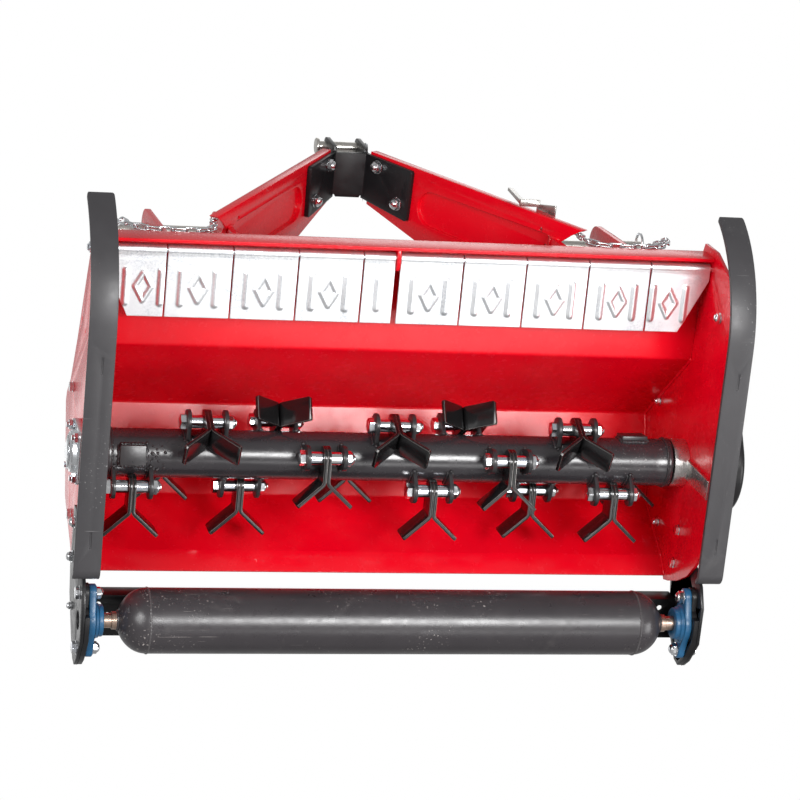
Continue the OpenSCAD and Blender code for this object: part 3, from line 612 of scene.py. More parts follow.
def tube(bm, path, r, seg=12, closed=False, mi=0, rf=None, ends=True):
    """Round bar along a path of points; rf(i) may change the radius."""
    n = len(path)
    P = [Vector(p) for p in path]
    rings = []
    up = None
    for i in range(n):
        a = P[(i - 1) % n] if (closed or i > 0) else P[i]
        b = P[(i + 1) % n] if (closed or i < n - 1) else P[i]
        t = (b - a).normalized()
        if up is None:
            up = t.orthogonal().normalized()
        up = (up - t * up.dot(t)).normalized()
        w = t.cross(up)
        rr = r * (rf(i) if rf else 1.0)
        rings.append([bm.verts.new(P[i] + up * (rr * cos(2 * pi * k / seg)) + w * (rr * sin(2 * pi * k / seg))) for k in range(seg)])
    before = len(bm.faces)
    for i in range(n if closed else n - 1):
        if closed and i == n - 1:
            # match the seam by the nearest starting vertex
            a, b = rings[-1], rings[0]
            s = min(range(seg), key=lambda k: (a[0].co - b[k].co).length)
            ring_faces(bm, a, [b[(k + s) % seg] for k in range(seg)])
        else:
            ring_faces(bm, rings[i], rings[i + 1])
    if not closed and ends:
        bm.faces.new(rings[0])
        bm.faces.new(rings[-1])
    bm.faces.ensure_lookup_table()
    for f in bm.faces[before:]:
        f.material_index = mi
    return rings


def weld(bm, path, r=2.2, mi=0, ripple=0.16, step=1.1, seg=8):
    """Weld bead: a rippled round bead along the corner."""
    P = [Vector(p) for p in path]
    pts, out = [P[0]], 0.0
    for a, b in zip(P, P[1:]):
        L = (b - a).length
        k = max(1, int(L / step))
        for j in range(1, k + 1):
            pts.append(a.lerp(b, j / k))
    ph = RND.random() * 6
    n = len(pts)

    def f(i):
        e = min(1.0, (i + 0.6) / 2.2, (n - i - 0.4) / 2.2)
        return max(0.25, e) * (1 + ripple * sin(i * 1.9 + ph) + RND.uniform(-0.06, 0.06))

    jit = [p + Vector((RND.uniform(-1, 1), RND.uniform(-1, 1), RND.uniform(-1, 1))) * r * 0.07 for p in pts]
    tube(bm, jit, r, seg, mi=mi, rf=f)


def blob(bm, c, r, mi=0, seg=10, squash=1.0):
    m = bmesh.ops.create_icosphere(bm, subdivisions=2, radius=r, matrix=Matrix.Translation(Vector(c)))
    for v in m["verts"]:
        v.co += Vector((RND.uniform(-1, 1), RND.uniform(-1, 1), RND.uniform(-1, 1))) * r * 0.10
    for v in m["verts"]:
        for f in v.link_faces:
            f.material_index = mi


def fillet(P, r, n=5):
    """Round the inner corners of an open polyline."""
    out = [Vector(P[0])]
    for a, b, c in zip(P, P[1:], P[2:]):
        a, b, c = Vector(a), Vector(b), Vector(c)
        u, v = (a - b).normalized(), (c - b).normalized()
        ang = u.angle(v)
        d = min(r / math.tan(ang / 2), (a - b).length * 0.45, (c - b).length * 0.45)
        p, q = b + u * d, b + v * d
        for k in range(n + 1):
            t = k / n
            out.append((1 - t) ** 2 * p + 2 * t * (1 - t) * b + t * t * q)
    out.append(Vector(P[-1]))
    return out


def offset_open(P, d):
    out = []
    for i, p in enumerate(P):
        a = P[i] - P[i - 1] if i else P[1] - P[0]
        b = P[i + 1] - P[i] if i < len(P) - 1 else P[-1] - P[-2]
        a, b = a.normalized(), b.normalized()
        na, nb = Vector((-a.y, a.x)), Vector((-b.y, b.x))
        out.append(p + (na + nb) * d / (1 + na.dot(nb)))
    return out


def sheet_loop(P, t, r, rounded=True):
    """Closed section of a folded sheet whose inner side follows P, offset t outward, bends of mid radius r."""
    mid = offset_open([Vector(p) for p in P], t / 2)
    mid = fillet(mid, r)
    a, b = offset_open(mid, -t / 2), offset_open(mid, t / 2)
    loop = list(a)
    def endcap(p, q, back):
        c = (p + q) / 2
        u = (p - c)
        w = Vector((u.y, -u.x)) if back else Vector((u.y, -u.x))
        return [c + u * cos(s) - w * sin(s) * 0.45 for s in (0.5, 1.1, 1.57, 2.04, 2.64)]
    loop += list(reversed(b))
    return loop


def extrude_loop(bm, loop, xs, mi=0, caps=True):
    rings = [[bm.verts.new((x, p[0], p[1])) for p in loop] for x in xs]
    before = len(bm.faces)
    for a, b in zip(rings, rings[1:]):
        ring_faces(bm, a, b)
    if caps:
        for r in (rings[0], rings[-1]):
            bm.faces.new(r)
    bm.faces.ensure_lookup_table()
    for f in bm.faces[before:]:
        f.material_index = mi
    return rings


def copy_in(bm, other, M):
    """Add a copy of another bmesh moved by M."""
    vm = {}
    for v in other.verts:
        vm[v] = bm.verts.new(M @ v.co)
    for f in other.faces:
        try:
            g = bm.faces.new([vm[v] for v in f.verts])
            g.material_index = f.material_index
        except ValueError:
            pass


# ------------------------------------------------------------------ housing
bm = bmesh.new()
loop = sheet_loop(HOOD, 4.0, 8.0)
xs = [-HW + 0.4 + (2 * HW - 0.8) * k / 16 for k in range(17)]
extrude_loop(bm, loop, xs)
finish_mesh("hood_sheet", bm, "mower_frame", RED, reps=("hood_shell",), bevel=0.9, bang=60, smooth=30, slot=SLOT["hood_shell"])

# welds between hood and side plates, inside and outside
bm = bmesh.new()
mid = fillet([Vector(p) for p in HOOD], 7.0)
outer = offset_open(mid, 5.2)
inner = offset_open(mid, -1.2)
for s in (-1, 1):
    weld(bm, [(s * (HW - 1.2), p.x, p.y) for p in inner[1:]], 2.7, ripple=0.05, step=3.0)
    weld(bm, [(s * (HW - 1.0), p.x, p.y) for p in outer[1:-1]], 2.6, ripple=0.10, step=2.2)
finish_mesh("hood_welds", bm, "mower_frame", RED, smooth=60, slot="red_paint")


def plate_paint(side):
    return lambda x, y, z, f: 0


for nd in ("side_plate_left", "side_plate_right"):
    refine(nd, RED, bevel=0.9, seg=3)

# front beam: folded angle with the rod support
bm = bmesh.new()
loop = sheet_loop([(-16.2, 148), (-16.2, 203.6), (-4, 203.6)], 5.6, 6.0)
extrude_loop(bm, loop, [-HW + 0.4 + (2 * HW - 0.8) * k / 12 for k in range(13)])
sup = [(-17, 152), (-17, 197.7), (1, 197.7), (4, 195), (12, 187), (19, 176), (21.5, 166), (20.5, 157), (14, 151), (3, 149.5), (-8, 150)]
prev = bmesh.new()
extrude_loop(prev, [Vector(p) for p in sup], [-30.5, -24.6])
copy_in(bm, prev, Matrix.Identity(4))
prev.free()
weld(bm, [(-31, -15.6, 154), (-31, -15.6, 200)], 1.9, step=1.4)
weld(bm, [(-24, -15.6, 154), (-24, -15.6, 200)], 1.9, step=1.4)
finish_mesh("front_beam_sheet", bm, "mower_frame", RED, reps=("front_beam",), bevel=0.9, seg=3, bang=50, smooth=34, slot="red_paint")

# welds under the beam, hidden side of the hood shelf
bm = bmesh.new()
weld(bm, [(x, -15.2, 197.0) for x in range(-510, 511, 15)], 2.0, ripple=0.05, step=5)
finish_mesh("beam_weld", bm, "mower_frame", RED, smooth=60, slot="red_paint")

# ------------------------------------------------------------------ flap rod
bm = bmesh.new()
lathe(bm, [(-PO - 16, 0), (-PO - 16, 4.6), (-PO - 15, 5.6), (-PO - 13, 5.9), (PO + 11, 5.9), (PO + 12, 5.0), (PO + 12, 0)], 0, RODZ, 40)
hexa(bm, -PO - 4, -PO - 13, 0, RODZ, 18, chamfer_hi=True, chamfer_lo=False, turn=0.3, hole=5.9)
washer(bm, -PO - 3.4, -PO - 0.6, 0, RODZ, 12, hole=5.9)
washer(bm, PO + 0.6, PO + 3.4, 0, RODZ, 12, hole=5.9)
tube(bm, [(PO + 8, 0, RODZ - 13), (PO + 8, 0, RODZ + 13)], 1.6, 12)
tube(bm, [(PO + 8, 1.8, RODZ - 13), (PO + 8.6, 5, RODZ - 15.5), (PO + 8.8, 8, RODZ - 14.5)], 1.5, 10)
finish_mesh("flap_rod_bar", bm, "mower_frame", ZINC, reps=("flap_rod",), smooth=34, slot="zinc")

# ------------------------------------------------------------------ flaps
FT, FG, NARROW, FL = 3.0, 1.8, 53.0, 112.0
try:
    _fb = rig.box("flap_02")
except Exception:
    _fb = None
XL, XR = -HW + 3, HW - 3
F0 = [XL, -415.9, -305.9, -195.9, -85.9, -24, 86, 196, 306, 416]
ro = 9.1


def seg_dist(px, py, ax, ay, bx, by):
    vx, vy = bx - ax, by - ay
    t = max(0.0, min(1.0, ((px - ax) * vx + (py - ay) * vy) / (vx * vx + vy * vy)))
    return math.hypot(px - ax - vx * t, py - ay - vy * t)


def bead(d, w):
    """Rounded pressed ridge of half width w."""
    if d >= w:
        return 0.0
    t = d / w
    return (cos(pi * t) + 1) / 2


def flap_press(i, x, y, m):
    if i == 4:
        return 2.9 * bead(seg_dist(x, y, m, 36, m, 87), 6.6)
    h = 0.0
    for s in (-1, 1):
        h = max(h, 3.1 * bead(seg_dist(x, y, m + s * 29, 34, m + s * 29, 89), 7.0))
    P = [(0, 37), (13.5, 61), (0, 85), (-13.5, 61)]
    for a, b in zip(P, P[1:] + P[:1]):
        h = max(h, 2.5 * bead(seg_dist(x, y, m + a[0], a[1], m + b[0], b[1]), 5.4))
    return h


for i in range(10):
    nd = "flap_%02d" % (i + 1)
    lo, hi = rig.box(nd)
    a, b = lo.x * 1000 - OX, hi.x * 1000 - OX
    m = (a + b) / 2 + (17 if i == 0 else -17 if i == 9 else 0)
    zb = lo.z * 1000 + 3.0
    zb = RODZ - ro
    rr = random.Random(100 + i)
    # section: curl round the rod, then the flat with a small reverse bend
    sec = []
    rm = ro - FT / 2
    for k in range(30):
        t = rad(-62 + (360 - 62 + 30) * k / 29 * 0 + 0) if False else rad(200 - k * (200 + 68) / 29 * 1.0)
        sec.append((rm * cos(t) * -1.0 * -1.0, RODZ + rm * sin(t)))
    # curl goes from the top rear over the front and down to the underside, in (y, z)
    sec = []
    for k in range(34):
        t = rad(35 + 258 * k / 33)
        sec.append((rm * cos(t), RODZ + rm * sin(t)))
    yl, zl = sec[-1]
    zf = zb + FT / 2 + 1.2
    ang = rad(35 + 258 - 270)
    for k in range(1, 6):
        t = k / 5
        y0 = yl + 6.5 * t
        z0 = zl + (zf - zl) * (t * t * (3 - 2 * t)) + sin(ang) * 0.0
        sec.append((y0, z0))
    ny = 62
    y0 = sec[-1][0]
    for k in range(1, ny + 1):
        sec.append((y0 + (FL - y0) * k / ny, zf - 0.9 * math.sin(pi * k / ny) * 0.5))
    nx = max(26, int((b - a) / 1.7))
    bm = bmesh.new()
    grid = []
    bend = rr.uniform(-0.5, 0.5)
    for (y, z) in sec:
        la, lb = a, b
        if y > 20:
            if i == 0:
                la = a + 46 * (y - 20) / 92
            if i == 9:
                lb = b - 46 * (y - 20) / 92
        row = []
        for k in range(nx + 1):
            x = la + (lb - la) * k / nx
            zz = z
            if y > 15 and z < RODZ - 2:
                zz -= flap_press(i, x, y, m)
                zz += 0.5 * sin((x - a) / (b - a) * pi) * bend
            row.append(bm.verts.new((x, y, zz)))
        grid.append(row)
    for r1, r2 in zip(grid, grid[1:]):
        ring_faces(bm, r1, r2, closed=False)
    me = bpy.data.meshes.new("tmp")
    for v in bm.verts:
        v.co = mm(v.co)
    bmesh.ops.recalc_face_normals(bm, faces=bm.faces)
    bm.to_mesh(me)
    bm.free()
    ob = bpy.data.objects.new(nd + "_sheet", me)
    bpy.context.scene.collection.objects.link(ob)
    me.materials.append(GALV)
    md = ob.modifiers.new("sol", "SOLIDIFY")
    md.thickness = FT / 1000
    md.offset = 0
    md2 = ob.modifiers.new("bev", "BEVEL")
    md2.width = 0.0005
    md2.segments = 2
    md2.limit_method = "ANGLE"
    md2.angle_limit = rad(60)
    bpy.context.view_layer.update()
    new = bpy.data.meshes.new_from_object(ob.evaluated_get(bpy.context.evaluated_depsgraph_get()))
    ob.modifiers.clear()
    ob.data = new
    new.shade_smooth()
    new.set_sharp_from_angle(angle=rad(50))
    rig.ride(ob, BODY[nd])
    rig.replaces(ob, nd)
    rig.slot(ob, "galvanised")

# ------------------------------------------------------------------ skids
for nd in ("skid_left", "skid_right"):
    refine(nd, SKID, bevel=1.1, seg=3, bang=40, smooth=32)
bm = bmesh.new()
for s in (-1, 1):
    for y0, y1 in ((118, 178), (238, 298), (352, 412), (446, 488)):
        for x in (s * (PO + 0.6), s * (HW - 0.6)):
            weld(bm, [(x, y, 8.6) for y in range(y0, y1 + 1, 6)], 2.3, step=1.4)
finish_mesh("skid_welds", bm, "mower_frame", SKID, smooth=60, slot="skid_paint")

# ------------------------------------------------------------------ rear roller
for nd in ("roller_bracket_left", "roller_bracket_right"):
    refine(nd, BLACK, bevel=1.0, seg=2, bang=40)
refine("roller_bearings", BLUE, bevel=2.2, seg=3, bang=36, smooth=50)
bm = bmesh.new()
for s in (-1, 1):
    # grease nipple on the hub of each bearing
    x = s * (HW - 10)
    tube(bm, [(x - s * 6, ROLY - 2, ROLZ + 28), (x - s * 6, ROLY - 2, ROLZ + 41)], 2.6, 12)
    tube(bm, [(x - s * 6, ROLY - 2, ROLZ + 39), (x - s * 6, ROLY - 2, ROLZ + 44)], 1.7, 12)
finish_mesh("grease_nipples", bm, "mower_frame", ZINC, smooth=40, slot="zinc")
refine("scraper_bar", BLACK, bevel=0.8, bang=40)
RR, RL, RD = 55.0, 423.0, 50.0
bm = bmesh.new()
prof = [(-HW + 6, 0), (-HW + 6, 11.5), (-HW + 7, 12.5), (-RL - RD - 10, 12.5)]
prof1 = [(-RL - RD - 10, 12.5), (-RL - RD - 9, 15), (-RL - RD + 0.5, 15.2)]
prof2 = []
for t in range(18, 91, 4):
    prof2.append((-RL - RD * cos(rad(t)), RR * sin(rad(t))))
body_p = [(-RL + 3, RR), (-RL + 6, RR), (-RL + 9, RR)] + [(-RL + 9 + (2 * RL - 18) * k / 24, RR) for k in range(1, 25)] + [(RL - 6, RR), (RL - 3, RR)]
mir = lambda P: [(-a, r) for a, r in reversed(P)]
lathe(bm, prof + prof1[:1], ROLY, ROLZ, 48, mi=1)
lathe(bm, prof1, ROLY, ROLZ, 48, mi=1)
lathe(bm, mir(prof + prof1[:1]), ROLY, ROLZ, 48, mi=1)
lathe(bm, mir(prof1), ROLY, ROLZ, 48, mi=1)
lathe(bm, [(-RL - RD + 2, 6)] + prof2 + body_p + mir(prof2) + [(RL + RD - 2, 6)], ROLY, ROLZ, 128, mi=0)


def ring_weld(bm, x, y, z, R, r, mi=0, step=1.6, axis="x", n0=0.0, n1=2 * pi):
    n = int((n1 - n0) * R / step)
    pts = [(x, y + R * cos(n0 + (n1 - n0) * k / n), z + R * sin(n0 + (n1 - n0) * k / n)) for k in range(n)]
    ph = RND.random() * 6
    tube(bm, pts, r, 8, closed=True, mi=mi, rf=lambda i: 1 + 0.12 * sin(i * 1.7 + ph) + RND.uniform(-0.05, 0.05))


for s in (-1, 1):
    ring_weld(bm, s * (RL + 0.5), ROLY, ROLZ, RR - 1.0, 2.2, mi=2)
    ring_weld(bm, s * (RL + RD - 1.2), ROLY, ROLZ, 15.4, 2.4)
finish_mesh("roller_drum", bm, "roller", [ROLLER, COPPER, ROLLW], reps=("rear_roller",), smooth=40, slot="rotor_paint")

# ------------------------------------------------------------------ rotor
def rot_frame(phi, x=0.0):
    """Local frame on the rotor: +Y' tangential, -Z' outward at phi, origin on the axis."""
    a = rad(phi)
    return Matrix.Translation(Vector((x, RY, RZ))) @ Matrix.Rotation(a, 4, "X")


bm = bmesh.new()
prof = [(-PO - 19, 0), (-PO - 19, 16.5), (-PO - 18, 17.5), (-HW + 31, 17.5), (-HW + 31, 43), (-HW + 38, 43), (-HW + 38, RT)]
n = 40
prof += [(-HW + 38 + (2 * HW - 76) * k / n, RT) for k in range(1, n + 1)]
prof += [(HW - 38, 43), (HW - 31, 43), (HW - 31, 17.5), (PO + 73, 17.5), (PO + 74, 16.5), (PO + 74, 0)]
lathe(bm, prof, RY, RZ, 128)
finish_mesh("rotor_tube", bm, "rotor_assembly", ROTOR, reps=("rotor",), bevel=0.7, bang=50, smooth=34, slot="rotor_paint")

# lugs: rounded plates on the tube
lug = bmesh.new()
outl = []
for k in range(25):
    t = rad(-90 + 180 * k / 24 + 90)
    outl.append((21 * cos(t), KR + 21 * sin(t)))
# sides run down to the tube, slightly waisted
left = [(-21, KR - 6), (-21, RT + 6), (-20.4, RT - 4)]
right = [(20.4, RT - 4), (21, RT + 6), (21, KR - 6)]
outl = outl + left + right
# as (tangent, -radius) in the rotor frame where -Z is outward
pts = [(p[0], -p[1]) for p in outl]
rings = []
hole_r = 8.15
for x in (-3.5, 3.5):
    o = [lug.verts.new((x, p[0], p[1])) for p in pts]
    h = [lug.verts.new((x, hole_r * cos(2 * pi * k / 24), -KR + hole_r * sin(2 * pi * k / 24))) for k in range(24)]
    rings.append((o, h))
ring_faces(lug, rings[0][0], rings[1][0])
ring_faces(lug, rings[0][1], rings[1][1])
for o, h in rings:
    es = []
    for L in (o, h):
        for k in range(len(L)):
            e = lug.edges.get((L[k], L[(k + 1) % len(L)]))
            es.append(e if e else lug.edges.new((L[k], L[(k + 1) % len(L)])))
    bmesh.ops.triangle_fill(lug, use_beauty=True, use_dissolve=False, edges=es)
bmesh.ops.recalc_face_normals(lug, faces=lug.faces)
bm = bmesh.new()
wm = bmesh.new()
for i in range(15):
    ph = ROW[SEQ[i]]
    for s in (-1, 1):
        x = setx(i) + s * LUGX
        M = rot_frame(ph, x)
        copy_in(bm, lug, M @ Matrix.Rotation(rad(RND.uniform(-0.8, 0.8)), 4, "Z"))
        # welds along both feet of the lug, on the tube surface
        for d in (-1, 1):
            pth = []
            for k in range(13):
                t = rad(-29 + 58 * k / 12)
                r = RT + 0.7
                pth.append(M @ Vector((d * 4.4, r * sin(t), -r * cos(t))))
            weld(wm, pth, 2.5, ripple=0.20, step=1.5)
        for d in (-1, 1):
            blob(wm, M @ Vector((RND.uniform(-2, 2), d * 21.6, -(RT - 4.5))), RND.uniform(2.8, 3.8))
        for k in range(RND.randint(1, 4)):
            t = rad(RND.uniform(-60, 60))
            r = RT + 0.3
            blob(wm, M @ Vector((RND.uniform(-16, 16), r * sin(t), -r * cos(t))), RND.uniform(0.5, 1.1))
lug.free()
finish_mesh("rotor_lugs", bm, "rotor_assembly", [LUGM, LEDGE], bevel=0.8, seg=2, bang=50, smooth=36, bevmat=1, slot="rotor_paint")
# balance weights with rough welds, and the rough seam at the left end
def block(bm, phi, x0, x1, w, r0, r1, bev=1.2):
    M = rot_frame(phi)
    b = bmesh.new()
    nx, ny = 6, 6
    vs = {}
    for ix in range(2):
        for iy in range(2):
            for iz in range(2):
                vs[ix, iy, iz] = b.verts.new(((x0, x1)[ix], (-w, w)[iy], -(r0, r1)[iz]))
    for q in (((0, 0, 0), (1, 0, 0), (1, 1, 0), (0, 1, 0)), ((0, 0, 1), (1, 0, 1), (1, 1, 1), (0, 1, 1)), ((0, 0, 0), (1, 0, 0), (1, 0, 1), (0, 0, 1)),
              ((0, 1, 0), (1, 1, 0), (1, 1, 1), (0, 1, 1)), ((0, 0, 0), (0, 1, 0), (0, 1, 1), (0, 0, 1)), ((1, 0, 0), (1, 1, 0), (1, 1, 1), (1, 0, 1))):
        b.faces.new([vs[k] for k in q])
    bmesh.ops.recalc_face_normals(b, faces=b.faces)
    bmesh.ops.bevel(b, geom=list(b.edges), offset=bev, segments=3, profile=0.5, affect="EDGES")
    copy_in(bm, b, M)
    b.free()
    for s in (-1, 1):
        pth = [M @ Vector((x, s * (w + 1), -math.sqrt(max(1, (RT + 0.8) ** 2 - (w + 1) ** 2)))) for x in [x0 + (x1 - x0) * k / 8 for k in range(9)]]
        weld(wm, pth, 3.2, ripple=0.25, step=1.8)
    for x in (x0 - 1, x1 + 1):
        pth = [M @ Vector((x, (RT + 0.8) * sin(rad(t)), -(RT + 0.8) * cos(rad(t)))) for t in range(-24, 25, 4)]
        weld(wm, pth, 3.0, ripple=0.25, step=1.8)


bm = bmesh.new()
block(bm, -12, -474, -430, 17, RT - 2, RT + 7)
block(bm, 262, 406, 452, 17, RT - 2, RT + 7)
finish_mesh("balance_weights", bm, "rotor_assembly", LUGM, smooth=40, slot="rotor_paint")
ring_weld(wm, -HW + 39, RY, RZ, RT + 0.6, 2.3)
ring_weld(wm, HW - 39, RY, RZ, RT + 0.6, 2.3)
for x0, x1, a0, a1, nb in ((-430, -396, -30, 40, 26), (-488, -474, -30, 30, 8), (-470, -420, 20, 60, 10)):
    for k in range(nb):
        t = rad(RND.uniform(a0, a1) - 12)
        x = RND.uniform(x0, x1)
        # kept low where the blades of the first set pass 1.5 mm over the tube
        blob(wm, (x, RY + RT * sin(t), RZ - RT * cos(t)), RND.uniform(1.0, 3.4) * (0.35 if a0 == 20 else 1.0))
finish_mesh("rotor_welds", wm, "rotor_assembly", WELDM, smooth=70, slot="rotor_paint")

# ------------------------------------------------------------------ knife bolts
bm = bmesh.new()
for i in range(15):
    y, z = pin(i)
    x = setx(i)
    tn = RND.uniform(0, 1.0)
    # head with a turned face, plain washer face, shank, sleeves, nut with rounded crown
    hexa(bm, x - 35.6, x - 45.8, y, z, 24, chamfer_hi=True, turn=tn)
    washer(bm, x - 35.1, x - 35.8, y, z, 11.6, hole=7.9)
    lathe(bm, [(x - 35.4, 7.95), (x + 35.4, 7.95)], y, z, 32)
    for s in (-1, 1):
        a0, b0 = (x - 27.8, x - 6.6) if s < 0 else (x + 6.6, x + 27.8)
        lathe(bm, [(a0, 8.0), (a0, 10.4), (a0 + 0.6, 11.0), (b0 - 0.6, 11.0), (b0, 10.4), (b0, 8.0)], y, z, 40, mi=1)
    hexa(bm, x + 35.3, x + 43.6, y, z, 24, chamfer_hi=True, chamfer_lo=True, turn=RND.uniform(0, 1.0))
    prof = [(x + 43.2, 11.2), (x + 44.4, 11.0), (x + 45.8, 10.4), (x + 47.2, 9.0), (x + 48.1, 7.4), (x + 48.5, 6.4), (x + 48.0, 6.0), (x + 49.8, 5.8), (x + 50.4, 5.0), (x + 50.4, 0)]
    lathe(bm, prof, y, z, 36)
finish_mesh("knife_bolt_set", bm, "rotor_assembly", [ZINC, SLEEVE], reps=("knife_bolts",), smooth=38, slot="zinc")

# ------------------------------------------------------------------ knives
KW, KT, STEM, FLARE = 42.0, 6.0, 42.0, 45.7


def knife_half(b, s):
    """One forged bar: rounded eye end, bend with a real radius, ground tip."""
    mid = fillet([Vector((KT / 2 + 0.2, -KW / 2)), Vector((KT / 2 + 0.2, STEM - 1.2)), Vector((KT / 2 + 0.2 + FLARE - 2.2, STEM + 42.3 - 3.2))], 8.5, 6)
    # resample finer near the eye so that its end can be round
    L = [0.0]
    for p, q in zip(mid, mid[1:]):
        L.append(L[-1] + (q - p).length)
    tot = L[-1]

    def at(d):
        for k in range(len(L) - 1):
            if d <= L[k + 1] or k == len(L) - 2:
                t = (d - L[k]) / max(1e-6, L[k + 1] - L[k])
                return mid[k].lerp(mid[k + 1], t)

    ds = [KW / 2 * (1 - cos(rad(t))) for t in range(0, 91, 9)]
    ds += [21 + (tot - 21) * k / 40 for k in range(1, 41)]
    hw_ = []
    for d in ds:
        w = KW / 2
        if d < 21:
            w = math.sqrt(max(0.0, 441 - (21 - d) ** 2))
        e = tot - d
        if e < 3:
            w -= 3 - math.sqrt(max(0.0, 9 - (3 - e) ** 2))
        hw_.append(w)
    secs = []
    for k, d in enumerate(ds):
        p = at(d)
        q, r = at(max(0, d - 0.4)), at(min(tot, d + 0.4))
        tg = (r - q).normalized()
        nr = Vector((tg.y, -tg.x))
        w = max(hw_[k], 0.4)
        th = KT / 2
        row = []
        for sy, st in ((-1, -1), (-1, 1), (1, 1), (1, -1)):
            c = p + nr * (st * th)
            row.append(b.verts.new((s * c.x, sy * w, -c.y)))
        secs.append(row)
    for a, c in zip(secs, secs[1:]):
        ring_faces(b, a, c)
    b.faces.new(secs[0])
    b.faces.new(secs[-1])


for i in range(15):
    nd = "knives_%02d" % (i + 1)
    b = bmesh.new()
    for s in (-1, 1):
        knife_half(b, s)
    y, z = pin(i)
    hg = HANG.get(SEQ[i], 90)
    M = Matrix.Translation(Vector((setx(i), y, z))) @ Matrix.Rotation(rad(hg), 4, "X")
    bmesh.ops.transform(b, matrix=M, verts=b.verts)
    bmesh.ops.recalc_face_normals(b, faces=b.faces)
    finish_mesh(nd + "_bars", b, BODY[nd], [KNIFE, KEDGE], reps=(nd,), bevel=0.6, seg=2, bang=48, smooth=34, bevmat=1, slot="knife_steel")

# ------------------------------------------------------------------ bearings, collars
refine("rotor_bearings", ZSHEET, bevel=1.2, seg=3, bang=30, smooth=44)
refine("rotor_collars", COLLAR, bevel=0.7, seg=2, bang=50, smooth=40, paint=lambda x, y, z, f: 0)

# ------------------------------------------------------------------ belt drive
def pulley(node, y, z, r, bore, name):
    prof = [(0, bore), (0, r + 4), (1, r + 5), (2.8, r + 5), (3.6, r + 4.4), (5.2, r - 5), (12, r - 5), (13.4, r + 4.4), (14, r + 5), (16, r + 5), (16.8, r + 4.4),
            (18.2, r - 5), (25, r - 5), (26.6, r + 4.4), (27.2, r + 5), (29, r + 5), (30, r + 4), (30, r - 12), (26.5, r - 13.5), (26, bore + 16), (27, bore + 14), (35, bore + 14), (36, bore + 13), (36, bore), (0, bore)]
    b = bmesh.new()
    lathe(b, [(PO + 34 + a, q) for a, q in prof], y, z, 96)
    for k in range(3):
        t = 2 * pi * k / 3 + 0.3
        hexa(b, PO + 70, PO + 73, y + (bore + 7) * cos(t), z + (bore + 7) * sin(t), 8)
    return finish_mesh(name, b, BODY[node], GREY, reps=(node,), smooth=34, slot=SLOT[node])


pulley("rotor_pulley", RY, RZ, 52.0, 17.6, "lower_pulley")
pulley("drive_pulley", DY, DZ, 66.0, 15.1, "upper_pulley")
refine("v_belts", RUBBER, bevel=0.7, bang=50, smooth=34)
refine("idler_arm", STEEL, bevel=0.8, bang=40)
refine("idler_wheel", STEEL, bevel=1.2, seg=3, bang=40)


def outline2(r1, r2, n=44):
    """Closed outline round two circles at the shafts, as (y, z) points."""
    dd = math.hypot(RY - DY, RZ - DZ)
    ba = math.atan2(RZ - DZ, RY - DY)
    ga = math.acos((r1 - r2) / dd)
    A = [(DY + r1 * cos(ba + ga + (2 * pi - 2 * ga) * k / n), DZ + r1 * sin(ba + ga + (2 * pi - 2 * ga) * k / n)) for k in range(n + 1)]
    B = [(RY + r2 * cos(ba - ga + 2 * ga * k / n), RZ + r2 * sin(ba - ga + 2 * ga * k / n)) for k in range(n + 1)]
    out = []
    for S, E in ((A[-1], B[0]), (B[-1], A[0])):
        base = A if S is A[-1] else B
        out += base
        for k in range(1, 8):
            t = k / 8
            out.append((S[0] + (E[0] - S[0]) * t, S[1] + (E[1] - S[1]) * t))
    return out


def guard_ring(b, g, x):
    return [b.verts.new((x, p[0], p[1])) for p in outline2(84 + g, 78 + g)]


b = bmesh.new()
X0, X1 = PO + 30.6, PO + 82
rings = [guard_ring(b, 9.5, X0), guard_ring(b, 9.5, X0 + 3), guard_ring(b, 8, X0 + 4.5)]
for k in range(4, 30, 5):
    rings.append(guard_ring(b, 8 - 0.012 * k, X0 + 4.5 + k))
for k in range(0, 8):
    t = k / 7 * pi / 2
    rings.append(guard_ring(b, 7.7 - 9 + 9 * cos(t), X1 - 10.5 + 9 * sin(t)))
rings.append(guard_ring(b, -12, X1 - 1.5))
for g, dx in ((-14, -1.0), (-16, 0.2), (-18, 0.8)):
    rings.append(guard_ring(b, g, X1 - 1.5 + dx))
rings.append(guard_ring(b, -34, X1 - 0.7))
for g, dx in ((-36, -0.2), (-38, -1.4), (-40, -2.0)):
    rings.append(guard_ring(b, g, X1 - 0.7 + dx))
rings.append(guard_ring(b, -60, X1 - 2.9))
for a, c in zip(rings, rings[1:]):
    ring_faces(b, a, c)
b.faces.new(rings[-1])
inner = [guard_ring(b, 5, X0), guard_ring(b, 5, X1 - 12), guard_ring(b, 2, X1 - 6), guard_ring(b, -6, X1 - 5)]
ring_faces(b, rings[0], inner[0])
for a, c in zip(inner, inner[1:]):
    ring_faces(b, a, c)
b.faces.new(inner[-1])
GT = [(314, 334), (437, 134), (198, 178), (91, 254)]
for (y, z) in GT:
    lathe(b, [(PO + 0.2, 4.3), (PO + 0.2, 7.2), (PO + 1.0, 8.0), (PO + 30.4, 8.0), (PO + 30.6, 11.2), (PO + 31.4, 12.0), (PO + 33.2, 12.0), (PO + 34, 11.2), (PO + 34, 4.3)], y, z, 32)
    hexa(b, PO + 34.1, PO + 40, y, z, 13, mi=1)
    washer(b, PO + 34, PO + 35.4, y, z, 9.0, mi=1)
finish_mesh("belt_guard_cover", b, "mower_frame", [BLACK, ZINC], reps=("belt_guard",), smooth=42, slot="black_paint")

